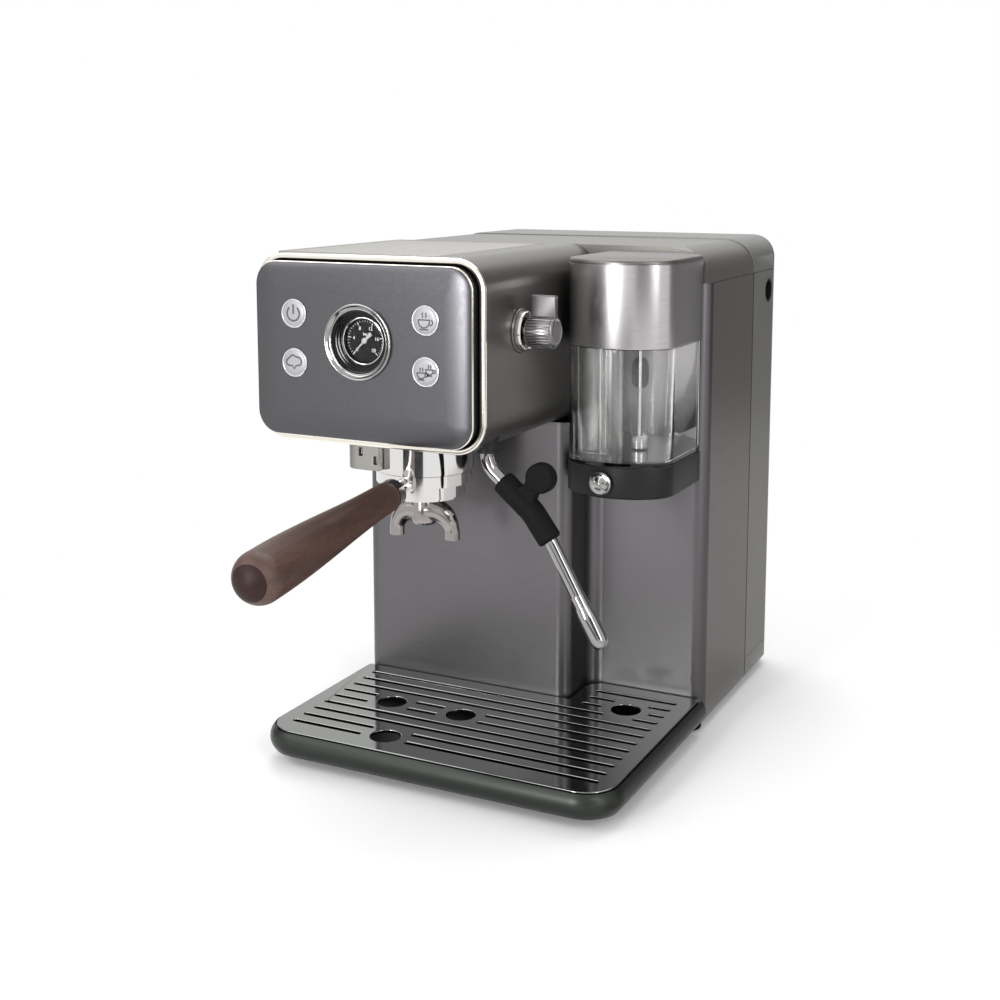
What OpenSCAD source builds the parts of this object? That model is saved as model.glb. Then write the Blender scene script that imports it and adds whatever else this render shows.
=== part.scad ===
/* [Body] */
// Width of the body
body_w = 242; // [236:1:256]
// Height of the top face above the worktop
body_h = 334.5; // [330:0.5:345]
// Depth of the body, from the left front panel to the back of the water tank
body_d = 211; // [205:1:230]
// Height of the rubber feet
foot_h = 5; // [4:0.5:8]
// Diameter of a rubber foot
foot_d = 22; // [16:1:26]
// Thickness of the base plate
base_t = 3; // [2:0.5:4]
// Wall of the side panels, the covers and the head
shell_t = 2; // [1.5:0.1:2.6]
// Thickness of the bent front panel
sheet_t = 1.2; // [0.8:0.1:1.6]
// Radius of the front panel's upright edges
edge_r = 9; // [6:0.5:11]
// Radius of the rounded right shoulder of the top
shoulder_r = 22; // [18:1:26]

/* [Milk bay] */
// Width of the milk bay, from the step to the right side
bay_w = 83; // [78:1:88]
// Setback of the milk bay behind the left front panel
bay_d = 39; // [34:1:44]

/* [Brew head] */
// Space between the brew head and the milk jug
head_gap = 5.3; // [4:0.1:8]
// Height of the brew head
head_h = 117.5; // [112:0.5:120]
// Reach of the head frame in front of the left front panel
head_reach = 128.6; // [122:0.2:136]
// Corner radius of the brew head
head_r = 19.5; // [16:0.5:22]
// Depth of the polished frame round the head
frame_d = 8; // [6:0.5:10]
// Width of the polished frame's face
frame_w = 3.6; // [3:0.1:4]
// How far the control pad stands out of the frame
pad_proud = 9.5; // [8:0.5:12]
// Rounding of the control pad's front edge
pad_r = 4; // [2.5:0.5:5]
// Wall of the control pad
pad_t = 3; // [2.5:0.1:3.5]
// Thickness of the cup plate
plate_t = 1; // [0.8:0.1:1.4]
// Length of the cup plate
plate_l = 151; // [130:1:152]

/* [Controls] */
// Diameter of a push button
button_d = 18; // [15:0.5:20]
// Distance of the buttons' columns from the sides of the brew head
button_in = 34.2; // [32:0.1:36]
// Distance between the upper and the lower buttons
button_dz = 30.5; // [26:0.5:36]
// Travel of a push button
button_travel = 1.5; // [1:0.1:2]
// Height of the controls' middle line above the underside of the head
control_z = 65.8; // [62:0.2:68]
// Outer diameter of the pressure gauge
gauge_d = 47; // [44:0.5:50]
// Diameter of the gauge's dial
dial_d = 27; // [24:0.5:29]
// Depth of the gauge's dial behind the front of the pad
dial_depth = 8; // [6:0.5:9]

/* [Group and portafilter] */
// Distance of the group's axis in front of the left front panel
group_y = 59; // [56:0.5:62]
// Outer diameter of the group collar
collar_d = 65.6; // [64:0.2:68]
// Height of the group collar below the head
collar_h = 26; // [25:0.5:27]
// Outer diameter of the portafilter body
filter_d = 61; // [59:0.5:61]
// Inner diameter of the filter basket
basket_d = 48; // [44:0.5:48.5]
// Depth of the filter basket
basket_h = 22; // [18:0.5:24]
// Angle of the locked handle, from straight ahead towards the right
lock_angle = 5; // [0:1:10]
// Slope of the handle below level
handle_tilt = 3.5; // [2:0.5:5]
// Distance from the group's axis to the wooden grip
neck_reach = 56; // [52:1:64]
// Length of the wooden grip
wood_l = 168; // [130:1:180]
// Diameter of the grip at its neck
neck_d = 19; // [17:0.5:22]
// Diameter of the grip near its end
butt_d = 30; // [27:0.5:33]
// Reach of each spout from the group's axis
spout_reach = 20; // [16:0.5:23]
// Diameter of a spout's tube
spout_d = 10; // [9:0.5:12]

/* [Steam] */
// Height of the steam knob's axis above the underside of the head
knob_z = 70.8; // [66:0.2:74]
// Distance of the steam knob's axis in front of the left front panel
knob_y = 79.5; // [74:0.5:86]
// Diameter of the fluted steam knob
knob_d = 20; // [17:0.5:23]
// Length of the fluted steam knob
knob_l = 19; // [16:0.5:20]
// Height of the knob's lever above its axis
lever_h = 22.5; // [20:0.5:26]
// Distance of the steam pipe's axis in front of the left front panel
wand_y = 105; // [102:0.5:108]
// Distance of the steam pipe's axis from the right side of the head
wand_in = 10.5; // [10:0.5:13]
// Diameter of the steam pipe
wand_d = 8.6; // [8:0.2:10]
// Diameter of the rubber grip on the steam pipe
grip_d = 15; // [13:0.5:17]
// Diameter of the steam tip
tip_d = 11.5; // [11:0.5:13]

/* [Milk jug] */
// Width of the milk jug
milk_w = 72.4; // [68:0.2:74]
// Depth of the milk jug, from the bay's wall to the middle of its front
milk_d = 80; // [74:1:84]
// Depth of the milk jug's underside below the top face
milk_drop = 156; // [150:0.5:164]
// Height of the milk jug's base
milk_base_h = 20.3; // [18:0.1:24]
// Height of the clear part of the milk jug
milk_clear_h = 75.2; // [66:0.2:78]
// Height of the milk jug's lid
milk_lid_h = 56; // [50:0.5:58]
// Wall of the milk jug
milk_t = 2.2; // [1.8:0.1:2.6]
// Diameter of the froth dial
froth_d = 15; // [13:0.5:17]

/* [Water tank] */
// Depth of the water tank
tank_d = 69; // [62:1:74]
// Wall of the water tank
tank_t = 2; // [1.8:0.1:2.6]
// Height of the plinth below the water tank
plinth_h = 13.5; // [12:0.5:16]
// Radius of the water tank's back edges
tank_r = 20; // [16:1:24]
// Diameter of the finger grips in the tank's sides
finger_d = 18; // [16:0.5:20]

/* [Drip tray] */
// Reach of the grate in front of the left front panel
tray_reach = 134.4; // [130:0.2:142]
// Height of the drip tray
tray_h = 16; // [15:0.5:18]
// Corner radius of the drip tray
tray_r = 22; // [18:1:26]
// Swell of the drip tray's sides
tray_swell = 3.5; // [2.5:0.1:4]
// Wall of the drip tray
tray_t = 2; // [1.8:0.1:2.6]
// Thickness of the grate
grate_t = 2.2; // [2:0.1:2.6]
// Distance between the grate's slots
slot_pitch = 12.5; // [11:0.5:15]
// Width of a slot
slot_w = 4; // [3:0.2:5]
// Diameter of the grate's round holes
drain_d = 20; // [16:0.5:22]

/* [Hidden] */
$fn = 64;

// Clearance between pieces of different bodies, and a hair for clean cuts
gap = 0.3;
eps = 0.05;

// Machine frame: X = 0 in the middle, Y = 0 on the left front panel, Z = 0 on the worktop
left = -body_w / 2;
right = body_w / 2;
floor_z = foot_h + base_t;
step_x = right - bay_w;
milk_x = (step_x + right) / 2 + 2;
milk_z = body_h - milk_drop;
head_right = milk_x - milk_w / 2 - head_gap;
head_w = head_right - left;
head_mid = left + head_w / 2;
button_dx = head_w / 2 - button_in;
head_z = body_h - head_h;
seam_z = body_h - shoulder_r - 1.5;
tank_y = body_d - tank_d;
dock_y = tank_y - gap;
panel_back = dock_y - 1.5 - gap;
plinth_z = floor_z + plinth_h;

// Water path inside the body
tank_mid_y = tank_y + tank_d / 2;
suction_z = plinth_z - 6;
hose_d = 5;
pump_x = left + 18.5;
pump_l = 70;
pump_r = 12;
coil_r = 19;
nozzle_l = 10;
pump_y = bay_d + 22;
pump_z = floor_z + 28;
rise_x = pump_x + pump_l + nozzle_l + 8;
upright_y = bay_d + 60;

// Control pad
pad_gap = 0.8;
pad_in = frame_w + pad_gap;
pad_y = -head_reach - pad_proud;
pad_back_y = -head_reach + frame_d - shell_t;
control_h = head_z + control_z;
board_t = 1.6;
board_w = head_w - 27;
board_h = 78;
post_x = board_w / 2 - 5;
post_z = board_h / 2 - 5;
button_proud = 0.8;
button_flange = 1.5;
button_stem_d = 7;
board_y = pad_y + pad_t + gap + button_flange + 4;
button_stem_l = board_y - (pad_y + pad_t + gap + button_flange) - button_travel - gap;

// Cup plate
plate_x0 = left + 8;
plate_x1 = head_right - 37;
plate_y0 = frame_d + 3 - head_reach;

// Pressure gauge
bezel_w = 4.2;
bezel_proud = 2.4;
dial_y = pad_y + dial_depth;
case_r = gauge_d / 2 - bezel_w + 1;
dial_t = 1;
needle_l = dial_d * 0.40;
needle_tail = dial_d * 0.17;
needle_angle = 225;
needle_y = dial_y - 0.8;
glass_t = 1;
glass_seat = 5.6;

// Group: the collar's lips carry the portafilter's ears
collar_z = head_z - collar_h;
filter_r = filter_d / 2 - 3.5;
lip_h = 3;
ear_h = 3;
ear_z = collar_z + lip_h + gap;
ear_reach = collar_d / 2 - 3 - gap;
ear_angle = 34;
unlock_turn = 45;
body_top_z = ear_z + ear_h;
body_bottom_z = collar_z - 18;
gasket_h = 6;
shelf_z = head_z + 18;
shelf_t = 2;
collar_neck_d = 40;
block_back = 40 - group_y;
heater_w = 84;
heater_h = 26;
port_h = shelf_z + 15;
steam_y = 10 - group_y;
rim_h = 2;
gasket_z = body_top_z + rim_h + gap;
screen_z = gasket_z + 0.5;
screen_t = 1.5;
basket_t = 1;
basket_rim = filter_r;
basket_z = body_top_z + rim_h - basket_h;

// Handle
handle_z = collar_z - 4.5;
wood_end = neck_reach + wood_l;
cap_l = 4;
handle_reach = group_y + (wood_end * cos(handle_tilt)) * cos(lock_angle);

// Spout
spout_z = body_bottom_z;
spout_stem_h = 17.5;
spout_drop = 10;
spout_bend = 15;
spout_tip = 4;

// Steam
knob_gap = 0.4;
ring_t = 5;
ring_d = knob_d + 8;
lever_l = 17;
lever_t = 3.6;
wand_x = head_right - wand_in;
steam_x = head_mid + heater_w / 2 + 14;
socket_d = 15;
wand_z = head_z - 1;
// Steam pipe: straight length, turn towards the right, bend radius
wand_run = [[1, 50, 16], [30, -14, 20], [18, -7, 25], [53, 0, 0]];
wand_l = run_start(wand_run, len(wand_run) - 1) + wand_run[len(wand_run) - 1][0];
wand_seat = head_z + 8;
wand_top = head_z + 12;
grip_from = 20.5;
grip_to = 68;
tip_l = 34;
tip_depth = 20;
tab_d = 18.5;
tab_out = 20;
tab_at = 38;
journal_d = wand_d + 1;

// Milk jug: D-shaped plan, held off the bay's wall
milk_back = bay_d - gap;
milk_front = bay_d - milk_d;
milk_bow = 5;
milk_corner = 22;
milk_back_r = 4;
milk_clear_z = milk_z + milk_base_h;
milk_lid_z = milk_clear_z + milk_clear_h;
dock_tongue = 26;
dock_w = 34;
dock_h = 7;
port_z = 247;
port_x = milk_x - 8;
froth_x = milk_x - 3;
froth_y = milk_front;
froth_z = milk_z + milk_base_h * 0.5;

// Water tank
finger_y = body_d - 31;
finger_z = seam_z - 15.5;
finger_depth = 8;

// Drip tray
tray_z = floor_z + gap;
tray_front = -tray_reach;
tray_top = tray_z + tray_h;
grate_z = tray_top - grate_t + 0.6;
tray_back = -gap;
bay_back = bay_d - gap;
grate_bay_r = 14;
grate_gap = 1;
slot_margin = 12;
drains = [
    [head_mid - 26.5, -group_y], [head_mid + 26.5, -group_y], [head_mid, -112],
    [(step_x + right) / 2 + 2, -2]
];

// The part's origin: middle of its box, with the handle, on the worktop
origin_y = (handle_reach - body_d) / 2;

// Block between two corners
module block(x0, x1, y0, y1, z0, z1) {
    translate([x0, y0, z0]) cube([x1 - x0, y1 - y0, z1 - z0]);
}

// Rectangle between two corners, with round corners
module round_rect(x0, x1, y0, y1, r) {
    translate([x0 + r, y0]) square([x1 - x0 - 2 * r, y1 - y0]);
    translate([x0, y0 + r]) square([x1 - x0, y1 - y0 - 2 * r]);
    for (x = [x0 + r, x1 - r], y = [y0 + r, y1 - r]) translate([x, y]) circle(r);
}

// Extrusion of an XZ outline from y0 back to y1
module along_y(y0, y1) {
    translate([0, y1, 0]) rotate([90, 0, 0]) linear_extrude(y1 - y0) children();
}

// Extrusion of a YZ outline from x0 to x1
module along_x(x0, x1) {
    translate([x0, 0, 0]) rotate([90, 0, 90]) linear_extrude(x1 - x0) children();
}

// Extrusion of an XY outline from z0 to z1
module along_z(z0, z1) {
    translate([0, 0, z0]) linear_extrude(z1 - z0) children();
}

// Places a piece that is drawn upright so that it faces the front at y, z
module facing_front(x, y, z) {
    translate([x, y, z]) rotate([90, 0, 0]) children();
}

// Round bar along Z
module bar(r, z0, z1) {
    translate([0, 0, z0]) cylinder(r = r, h = z1 - z0);
}

// Tube along Z
module tube(r_out, r_in, z0, z1) {
    difference() {
        bar(r_out, z0, z1);
        bar(r_in, z0 - 1, z1 + 1);
    }
}

// Pipe runs are lists of [straight length, turn towards +X, bend radius], drawn upwards
function arc_length(step) = step[2] * abs(step[1]) * PI / 180;
function run_start(steps, i) =
    i == 0 ? 0 : run_start(steps, i - 1) + steps[i - 1][0] + arc_length(steps[i - 1]);

// Point along a run as [x, z, heading away from +Z]
function run_at(steps, s, i = 0, x = 0, z = 0, a = 0) =
    let (straight = steps[i][0], arc = arc_length(steps[i]))
    s <= straight || i + 1 == len(steps) ? [x + s * sin(a), z + s * cos(a), a] :
    let (part = min(1, (s - straight) / arc), side = sign(steps[i][1]) * steps[i][2],
        b = a + steps[i][1] * part,
        x1 = x + straight * sin(a) + side * (cos(a) - cos(b)),
        z1 = z + straight * cos(a) + side * (sin(b) - sin(a)))
    s <= straight + arc ? [x1, z1, b] : run_at(steps, s - straight - arc, i + 1, x1, z1, b);

// Places along a run that need a ring: both ends, and every few degrees of each bend
function run_stations(steps, from, to) = concat([from], [
    for (i = [0 : len(steps) - 1]) if (steps[i][1] != 0)
        let (n = ceil(abs(steps[i][1]) / 4), s0 = run_start(steps, i) + steps[i][0])
        for (k = [0 : n]) let (s = s0 + arc_length(steps[i]) * k / n)
            if (s > from + 0.2 && s < to - 0.2) s
], [to]);

// Round pipe swept along a run
module pipe_run(steps, r, from, to) {
    sides = 32;
    stations = run_stations(steps, from, to);
    rings = len(stations);
    points = [
        for (s = stations) let (p = run_at(steps, s)) for (k = [0 : sides - 1])
            let (u = r * cos(k * 360 / sides))
            [p[0] + u * cos(p[2]), r * sin(k * 360 / sides), p[1] - u * sin(p[2])]
    ];
    walls = [
        for (j = [0 : rings - 2], k = [0 : sides - 1]) let (m = (k + 1) % sides)
            [j * sides + k, (j + 1) * sides + k, (j + 1) * sides + m, j * sides + m]
    ];
    polyhedron(points, concat(walls, [[for (k = [0 : sides - 1]) k]],
        [[for (k = [sides - 1 : -1 : 0]) (rings - 1) * sides + k]]), convexity = 6);
}

// Places children at a distance along a run, turned to its heading
module on_pipe(steps, s) {
    p = run_at(steps, s);
    translate([p[0], 0, p[1]]) rotate([0, p[2], 0]) children();
}

// Plan of the body, inset from its outside, with the milk bay cut out of its right front
module body_plan(inset, back) {
    r = edge_r - inset;
    round_in = edge_r + inset;
    x0 = left + inset;
    step = step_x - inset;
    bay = bay_d + inset;
    difference() {
        union() {
            translate([x0 + r, inset]) square([step - x0 - 2 * r, back - inset]);
            translate([x0, inset + r]) square([step - x0, back - inset - r]);
            for (x = [x0 + r, step - r]) translate([x, inset + r]) circle(r);
            translate([x0, bay]) square([right - inset - r - x0, back - bay]);
            translate([x0, bay + r]) square([right - inset - x0, back - bay - r]);
            translate([right - inset - r, bay + r]) circle(r);
            translate([step - eps, bay - round_in]) square([round_in + eps, round_in + eps]);
        }
        translate([step + round_in, bay - round_in]) circle(round_in);
        translate([step + round_in, bay - 2 * round_in]) square(round_in * 2);
    }
}

// Front profile of the top's shoulders; the left one matches the head's corner
module top_profile(inset, z0) {
    r_left = head_r - inset;
    r_right = shoulder_r - inset;
    top = body_h - inset;
    x0 = left + inset;
    x1 = right - inset;
    translate([x0 + r_left, z0]) square([x1 - x0 - r_left - r_right, top - z0]);
    translate([x0, z0]) square([r_left + eps, top - r_left - z0]);
    translate([x1 - r_right - eps, z0]) square([r_right + eps, top - r_right - z0]);
    intersection() {
        union() {
            translate([x0 + r_left, top - r_left]) circle(r_left);
            translate([x1 - r_right, top - r_right]) circle(r_right);
        }
        translate([x0 - 1, z0]) square([x1 - x0 + 2, top]);
    }
}

// Front outline of the brew head
module head_outline(inset) {
    round_rect(left + inset, head_right - inset, head_z + inset, body_h - inset, head_r - inset);
}

// Slab in XZ with its front edge rounded all round, from y (front) back to y_back
module soft_slab(inset, r, y, y_back) {
    x0 = left + inset;
    x1 = head_right - inset;
    z0 = head_z + inset;
    z1 = body_h - inset;
    corner = head_r - inset;
    along_y(y + r, y_back) round_rect(x0, x1, z0, z1, corner);
    along_y(y, y_back) round_rect(x0 + r, x1 - r, z0 + r, z1 - r, corner - r);
    for (x = [x0 + corner, x1 - corner], z = [z0 + corner, z1 - corner])
        facing_front(x, y + r, z) rotate_extrude() translate([corner - r, 0]) circle(r);
    for (x = [x0 + r, x1 - r]) translate([x, y + r, z0 + corner])
        cylinder(r = r, h = z1 - z0 - 2 * corner);
    for (z = [z0 + r, z1 - r]) translate([x0 + corner, y + r, z]) rotate([0, 90, 0])
        cylinder(r = r, h = x1 - x0 - 2 * corner);
}

// Places of the buttons: left or right column, upper or lower row
module at_button(column, row) {
    facing_front(head_mid + column * button_dx, 0, control_h + row * button_dz / 2) children();
}

// ---- Body ----

module base_plate() {
    color("dimgray") difference() {
        union() {
            along_z(foot_h, floor_z) difference() {
                body_plan(shell_t + gap, body_d - tank_r);
                translate([right - edge_r - 2, 0]) square([edge_r + 3, bay_d + edge_r]);
            }
            along_z(foot_h, floor_z)
                round_rect(left + tray_r, right - tray_r, tray_front + 14, tank_y, 8);
        }
        for (x = [-70, 70], y = [20 + bay_d, 110])
            translate([x, y, foot_h - 1]) cylinder(d = 4, h = base_t + 2);
    }
}

module feet() {
    places = [[85, tray_front + 30], [right - 14, bay_d + 8], [right - 22, body_d - 36]];
    color("black") for (side = [-1, 1], p = places) translate([side * p[0], p[1], 0]) {
        cylinder(d = foot_d - 3, h = 1.5);
        translate([0, 0, 1]) cylinder(d = foot_d, h = foot_h - 1);
    }
}

module side_panel_left() {
    color("gray") {
        block(left, left + shell_t, edge_r, panel_back, floor_z, head_z - gap);
        block(left, left + shell_t, bay_d, panel_back, head_z - gap - eps, seam_z - gap);
    }
}

module side_panel_right() {
    color("gray") block(right - shell_t, right, bay_d + edge_r, panel_back, floor_z, seam_z - gap);
}

module front_panel() {
    color("silver") difference() {
        union() {
            along_z(floor_z, head_z - gap) front_sheet();
            along_z(head_z - gap - eps, seam_z - gap) intersection() {
                front_sheet();
                translate([head_right + gap, 0]) square([bay_w + 10, bay_d + edge_r + 10]);
            }
        }
        facing_front(port_x, bay_d + 5, port_z) linear_extrude(10)
            round_rect(-6 - gap, 6 + gap, -11.5 - gap, 11.5 + gap, 6);
        for (x = [-1, 1]) facing_front(milk_x + x * 10, bay_d + 5, milk_z + 6)
            cylinder(d = 4, h = 10);
    }
}

// Plan of the bent front sheet: left flat, step and bay, wrapped round both upright edges
module front_sheet() {
    intersection() {
        difference() {
            body_plan(0, body_d);
            body_plan(sheet_t, body_d + 1);
        }
        union() {
            translate([left - 1, -1]) square([body_w - 20, bay_d + sheet_t + 1.5]);
            translate([step_x + 20, -1]) square([bay_w, bay_d + edge_r + 1 - gap]);
        }
        union() {
            translate([left - 1, -1]) square([20, edge_r + 1 - gap]);
            translate([left + 10, -1]) square([step_x - left - 20, 5]);
            translate([step_x - 12, -1]) square([bay_w + 20, body_d]);
        }
    }
}

module top_cover() {
    color("gray") difference() {
        along_y(bay_d + gap, dock_y - gap) top_profile(0, seam_z);
        along_y(bay_d + gap + shell_t, dock_y - gap - shell_t) top_profile(shell_t, seam_z - 1);
    }
}

module dock_wall() {
    x0 = left + shell_t + gap;
    color("dimgray") difference() {
        union() {
            block(x0, -x0, dock_y - 5, dock_y - 1, floor_z, seam_z - 2);
            block(left, right, panel_back + gap, dock_y, floor_z, seam_z - gap);
        }
        translate([head_mid, dock_y - 8, suction_z]) rotate([-90, 0, 0]) cylinder(d = hose_d + 1, h = 12);
    }
}

module plinth() {
    color("dimgray") difference() {
        along_z(floor_z, plinth_z - gap) tank_plan(0);
        translate([head_mid, (tank_y + body_d) / 2, plinth_z - 8]) cylinder(d = 26, h = 20);
        translate([head_mid, tank_y - 1, plinth_z - 6]) rotate([-90, 0, 0])
            cylinder(d = 7, h = tank_d / 2 - 8);
        translate([left + 40, body_d + 1, floor_z + 6]) rotate([90, 0, 0]) cylinder(d = 9, h = 21);
    }
}

// Plan of the water tank and its plinth, with round back corners
module tank_plan(inset) {
    r = tank_r - inset;
    translate([left + inset, tank_y + inset])
        square([body_w - 2 * inset, tank_d - 2 * inset - r]);
    translate([left + inset + r, tank_y + inset])
        square([body_w - 2 * inset - 2 * r, tank_d - 2 * inset]);
    for (x = [left + inset + r, right - inset - r])
        translate([x, body_d - inset - r]) circle(r);
}

module tank_seat() {
    color("black") translate([head_mid, tank_mid_y, 0]) difference() {
        union() {
            bar(13 - 0.05, plinth_z - 8, plinth_z - 4);
            bar(8, plinth_z - 4 - eps, plinth_z - gap);
        }
        bar(3.5, plinth_z - 6, plinth_z + 1);
    }
}

module cord_gland() {
    color("black") translate([left + 40, body_d, floor_z + 6]) rotate([-90, 0, 0]) difference() {
        union() {
            bar(4.45, -18, 0.05);
            bar(7, 0, 1.5);
        }
        bar(3, -12, 3);
    }
}

module chassis() {
    x0 = left + 8;
    x1 = head_right - 8;
    color("silver") difference() {
        union() {
            block(x0, x1, 30 - head_reach, upright_y, shelf_z, shelf_z + shelf_t);
            block(x0, x1, upright_y - 2, upright_y, floor_z, shelf_z + eps);
            block(x0, x1, upright_y - 15, upright_y, floor_z, floor_z + 2);
            for (x = [left + head_r + 4, head_right - head_r - 8])
                block(x, x + 4, -group_y - 36, -group_y - 26, head_z + shell_t, shelf_z + eps);
        }
        translate([head_mid, -group_y, shelf_z - 1]) cylinder(d = collar_neck_d + 0.2, h = shelf_t + 2);
        translate([wand_x, -wand_y, shelf_z - 1]) cylinder(d = 10, h = shelf_t + 2);
        translate([rise_x, pump_y, shelf_z - 1]) cylinder(d = 6, h = shelf_t + 2);
        translate([head_mid, upright_y - 4, suction_z]) rotate([-90, 0, 0]) cylinder(d = 6, h = 6);
    }
}

// ---- Brew head ----

module head_housing() {
    color("gray") difference() {
        along_y(-head_reach + frame_d, bay_d) head_outline(0);
        along_y(-head_reach + frame_d - 1, bay_d + 1) head_outline(shell_t);
        block(left + head_r, head_right - head_r, -head_reach, -6, head_z - 1, head_z + shell_t + 1);
        block(step_x - edge_r, body_w, -gap, bay_d + 1, 0, head_z + eps);
        block(plate_x0 - gap, plate_x1 + gap, plate_y0 - gap, plate_y0 + plate_l + gap,
            body_h - plate_t, body_h + 1);
        translate([head_right - shell_t - 1, -knob_y, head_z + knob_z]) rotate([0, 90, 0])
            cylinder(d = 12, h = shell_t + 2);
        translate([wand_x, -wand_y, head_z - 1]) cylinder(d = socket_d + 0.2, h = head_r);
    }
}

module cup_plate() {
    color("lightgray")
        along_z(body_h - plate_t, body_h + 0.2)
            round_rect(plate_x0, plate_x1, plate_y0, plate_y0 + plate_l, 2);
}

module head_underside() {
    color("dimgray") difference() {
        block(left + head_r + gap, head_right - head_r - gap, -head_reach + frame_d, -6 - gap,
            head_z, head_z + shell_t);
        translate([head_mid, -group_y, head_z - 1]) cylinder(d = collar_neck_d + 0.2, h = shell_t + 2);
    }
}

module head_frame() {
    color("gainsboro") difference() {
        union() {
            along_y(-head_reach + 1, -head_reach + frame_d) head_outline(0);
            along_y(-head_reach, -head_reach + frame_d) head_outline(1);
        }
        along_y(-head_reach - 1, -head_reach + frame_d + 1) head_outline(frame_w);
    }
}

module pad_seal() {
    color("black") difference() {
        along_y(pad_back_y, -head_reach + frame_d) head_outline(frame_w + 0.1);
        along_y(pad_back_y - 1, -head_reach + frame_d + 1) head_outline(frame_w + 9);
    }
}

module control_pad() {
    color("slategray") difference() {
        soft_slab(pad_in, pad_r, pad_y, pad_back_y);
        along_y(pad_y + pad_t, pad_back_y + 1) head_outline(pad_in + pad_t);
        facing_front(head_mid, 0, control_h) bar(gauge_d / 2 - bezel_w + 2.2, -pad_y - pad_t - 1, -pad_y + 1);
        for (c = [-1, 1], r = [-1, 1]) at_button(c, r)
            bar(button_d / 2 + gap, -pad_y - pad_t - 1, -pad_y + 1);
    }
    color("slategray") for (c = [-1, 1], z = [-1, 1])
        facing_front(head_mid + c * post_x, 0, control_h + z * post_z) tube(3.5, 1.2, -board_y, -pad_y - pad_t + eps);
}

module button_board() {
    color("darkgreen") difference() {
        along_y(board_y, board_y + board_t)
            round_rect(head_mid - board_w / 2, head_mid + board_w / 2,
                control_h - board_h / 2, control_h + board_h / 2, 2);
        facing_front(head_mid, 0, control_h) bar(case_r + gap, -board_y - 5, -board_y + 5);
        for (c = [-1, 1], z = [-1, 1])
            facing_front(head_mid + c * post_x, 0, control_h + z * post_z) bar(1.2, -board_y - 5, -board_y + 5);
    }
    color("black") for (c = [-1, 1], r = [-1, 1]) at_button(c, r)
        tube(6, button_stem_d / 2 + 0.4, -board_y - eps, -board_y + 2);
}

module gauge_bezel() {
    color("gainsboro") facing_front(head_mid, pad_y, control_h) rotate_extrude() {
        translate([gauge_d / 2 - bezel_w, 0]) square([bezel_w, 0.8]);
        translate([gauge_d / 2 - bezel_w / 2, 0.8 - eps]) intersection() {
            circle(bezel_w / 2);
            translate([-bezel_w / 2, 0]) square([bezel_w, bezel_proud]);
        }
        translate([case_r, -pad_t - 1]) square([1, pad_t + 1 + eps]);
    }
}

module gauge_case() {
    steps = 3;
    step_w = (case_r - 1 - dial_d / 2 - 1.6) / steps;
    floor_y = -dial_depth - 4;
    color("black") facing_front(head_mid, pad_y, control_h) {
        rotate_extrude() {
            translate([case_r - 1, floor_y]) square([1 - eps, -floor_y - eps]);
            translate([0, floor_y]) square([case_r - eps, 2]);
            for (i = [0 : steps - 1])
                translate([case_r - 1 - (i + 1) * step_w, floor_y])
                    square([step_w + eps, -floor_y - 1.2 - i * 1.7]);
            translate([dial_d / 2 + 0.1, floor_y]) square([1.6, -floor_y - glass_seat]);
        }
        bar(11, floor_y - 12, floor_y + eps);
    }
}

module gauge_dial() {
    color("black") facing_front(head_mid, dial_y, control_h) difference() {
        bar(dial_d / 2, -dial_t - 1, 0);
        bar(1, -dial_t - 2, 1);
    }
}

module gauge_glass() {
    color("white", 0.3) facing_front(head_mid, pad_y, control_h)
        bar(dial_d / 2 + 1.4, -glass_seat, -glass_seat + glass_t);
}

module gauge_needle() {
    color("silver") facing_front(head_mid, needle_y, control_h) {
        rotate([0, 0, needle_angle]) {
            linear_extrude(0.5)
                polygon([[0, -0.7], [needle_l, -0.25], [needle_l, 0.25], [0, 0.7]]);
            translate([-needle_tail, -1, 0]) cube([needle_tail, 2, 0.5]);
        }
        bar(1.8, 0, 0.9);
        bar(0.94, -dial_t - 1.2, 0.2);
    }
}

// Button: a round cap through the pad, a flange behind it and a stem to its switch
module button(column, row) {
    color("lightgray") at_button(column, row) {
        bar(button_d / 2 - 0.6, -pad_y - pad_t, -pad_y + button_proud);
        bar(button_d / 2, -pad_y - pad_t - gap, -pad_y + button_proud - 0.5);
        bar(button_d / 2 + 1.4, -pad_y - pad_t - gap - button_flange, -pad_y - pad_t - gap);
        bar(button_stem_d / 2, -pad_y - pad_t - gap - button_flange - button_stem_l,
            -pad_y - pad_t - gap - button_flange + eps);
    }
}

module button_power() { button(-1, 1); }
module button_steam() { button(-1, -1); }
module button_single() { button(1, 1); }
module button_double() { button(1, -1); }

// ---- Group, water and steam ----

module group_bracket() {
    color("gray") difference() {
        along_z(collar_z + 2.5, head_z)
            round_rect(head_mid - 39, head_mid + 5, -group_y - 36, -group_y + 34, 9);
        translate([head_mid, -group_y, collar_z - 1]) cylinder(d = collar_d + 0.1, h = collar_h + 2);
        block(head_mid - 13, head_mid + 10, -group_y - 40, -group_y + 40, collar_z - 1, head_z + 1);
        for (slot = [[-28, 12], [-17, 7]])
            block(head_mid + slot[0], head_mid + slot[0] + 2.5, -group_y - 37, -group_y - 33,
                collar_z + slot[1], collar_z + slot[1] + 5);
    }
}

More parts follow.
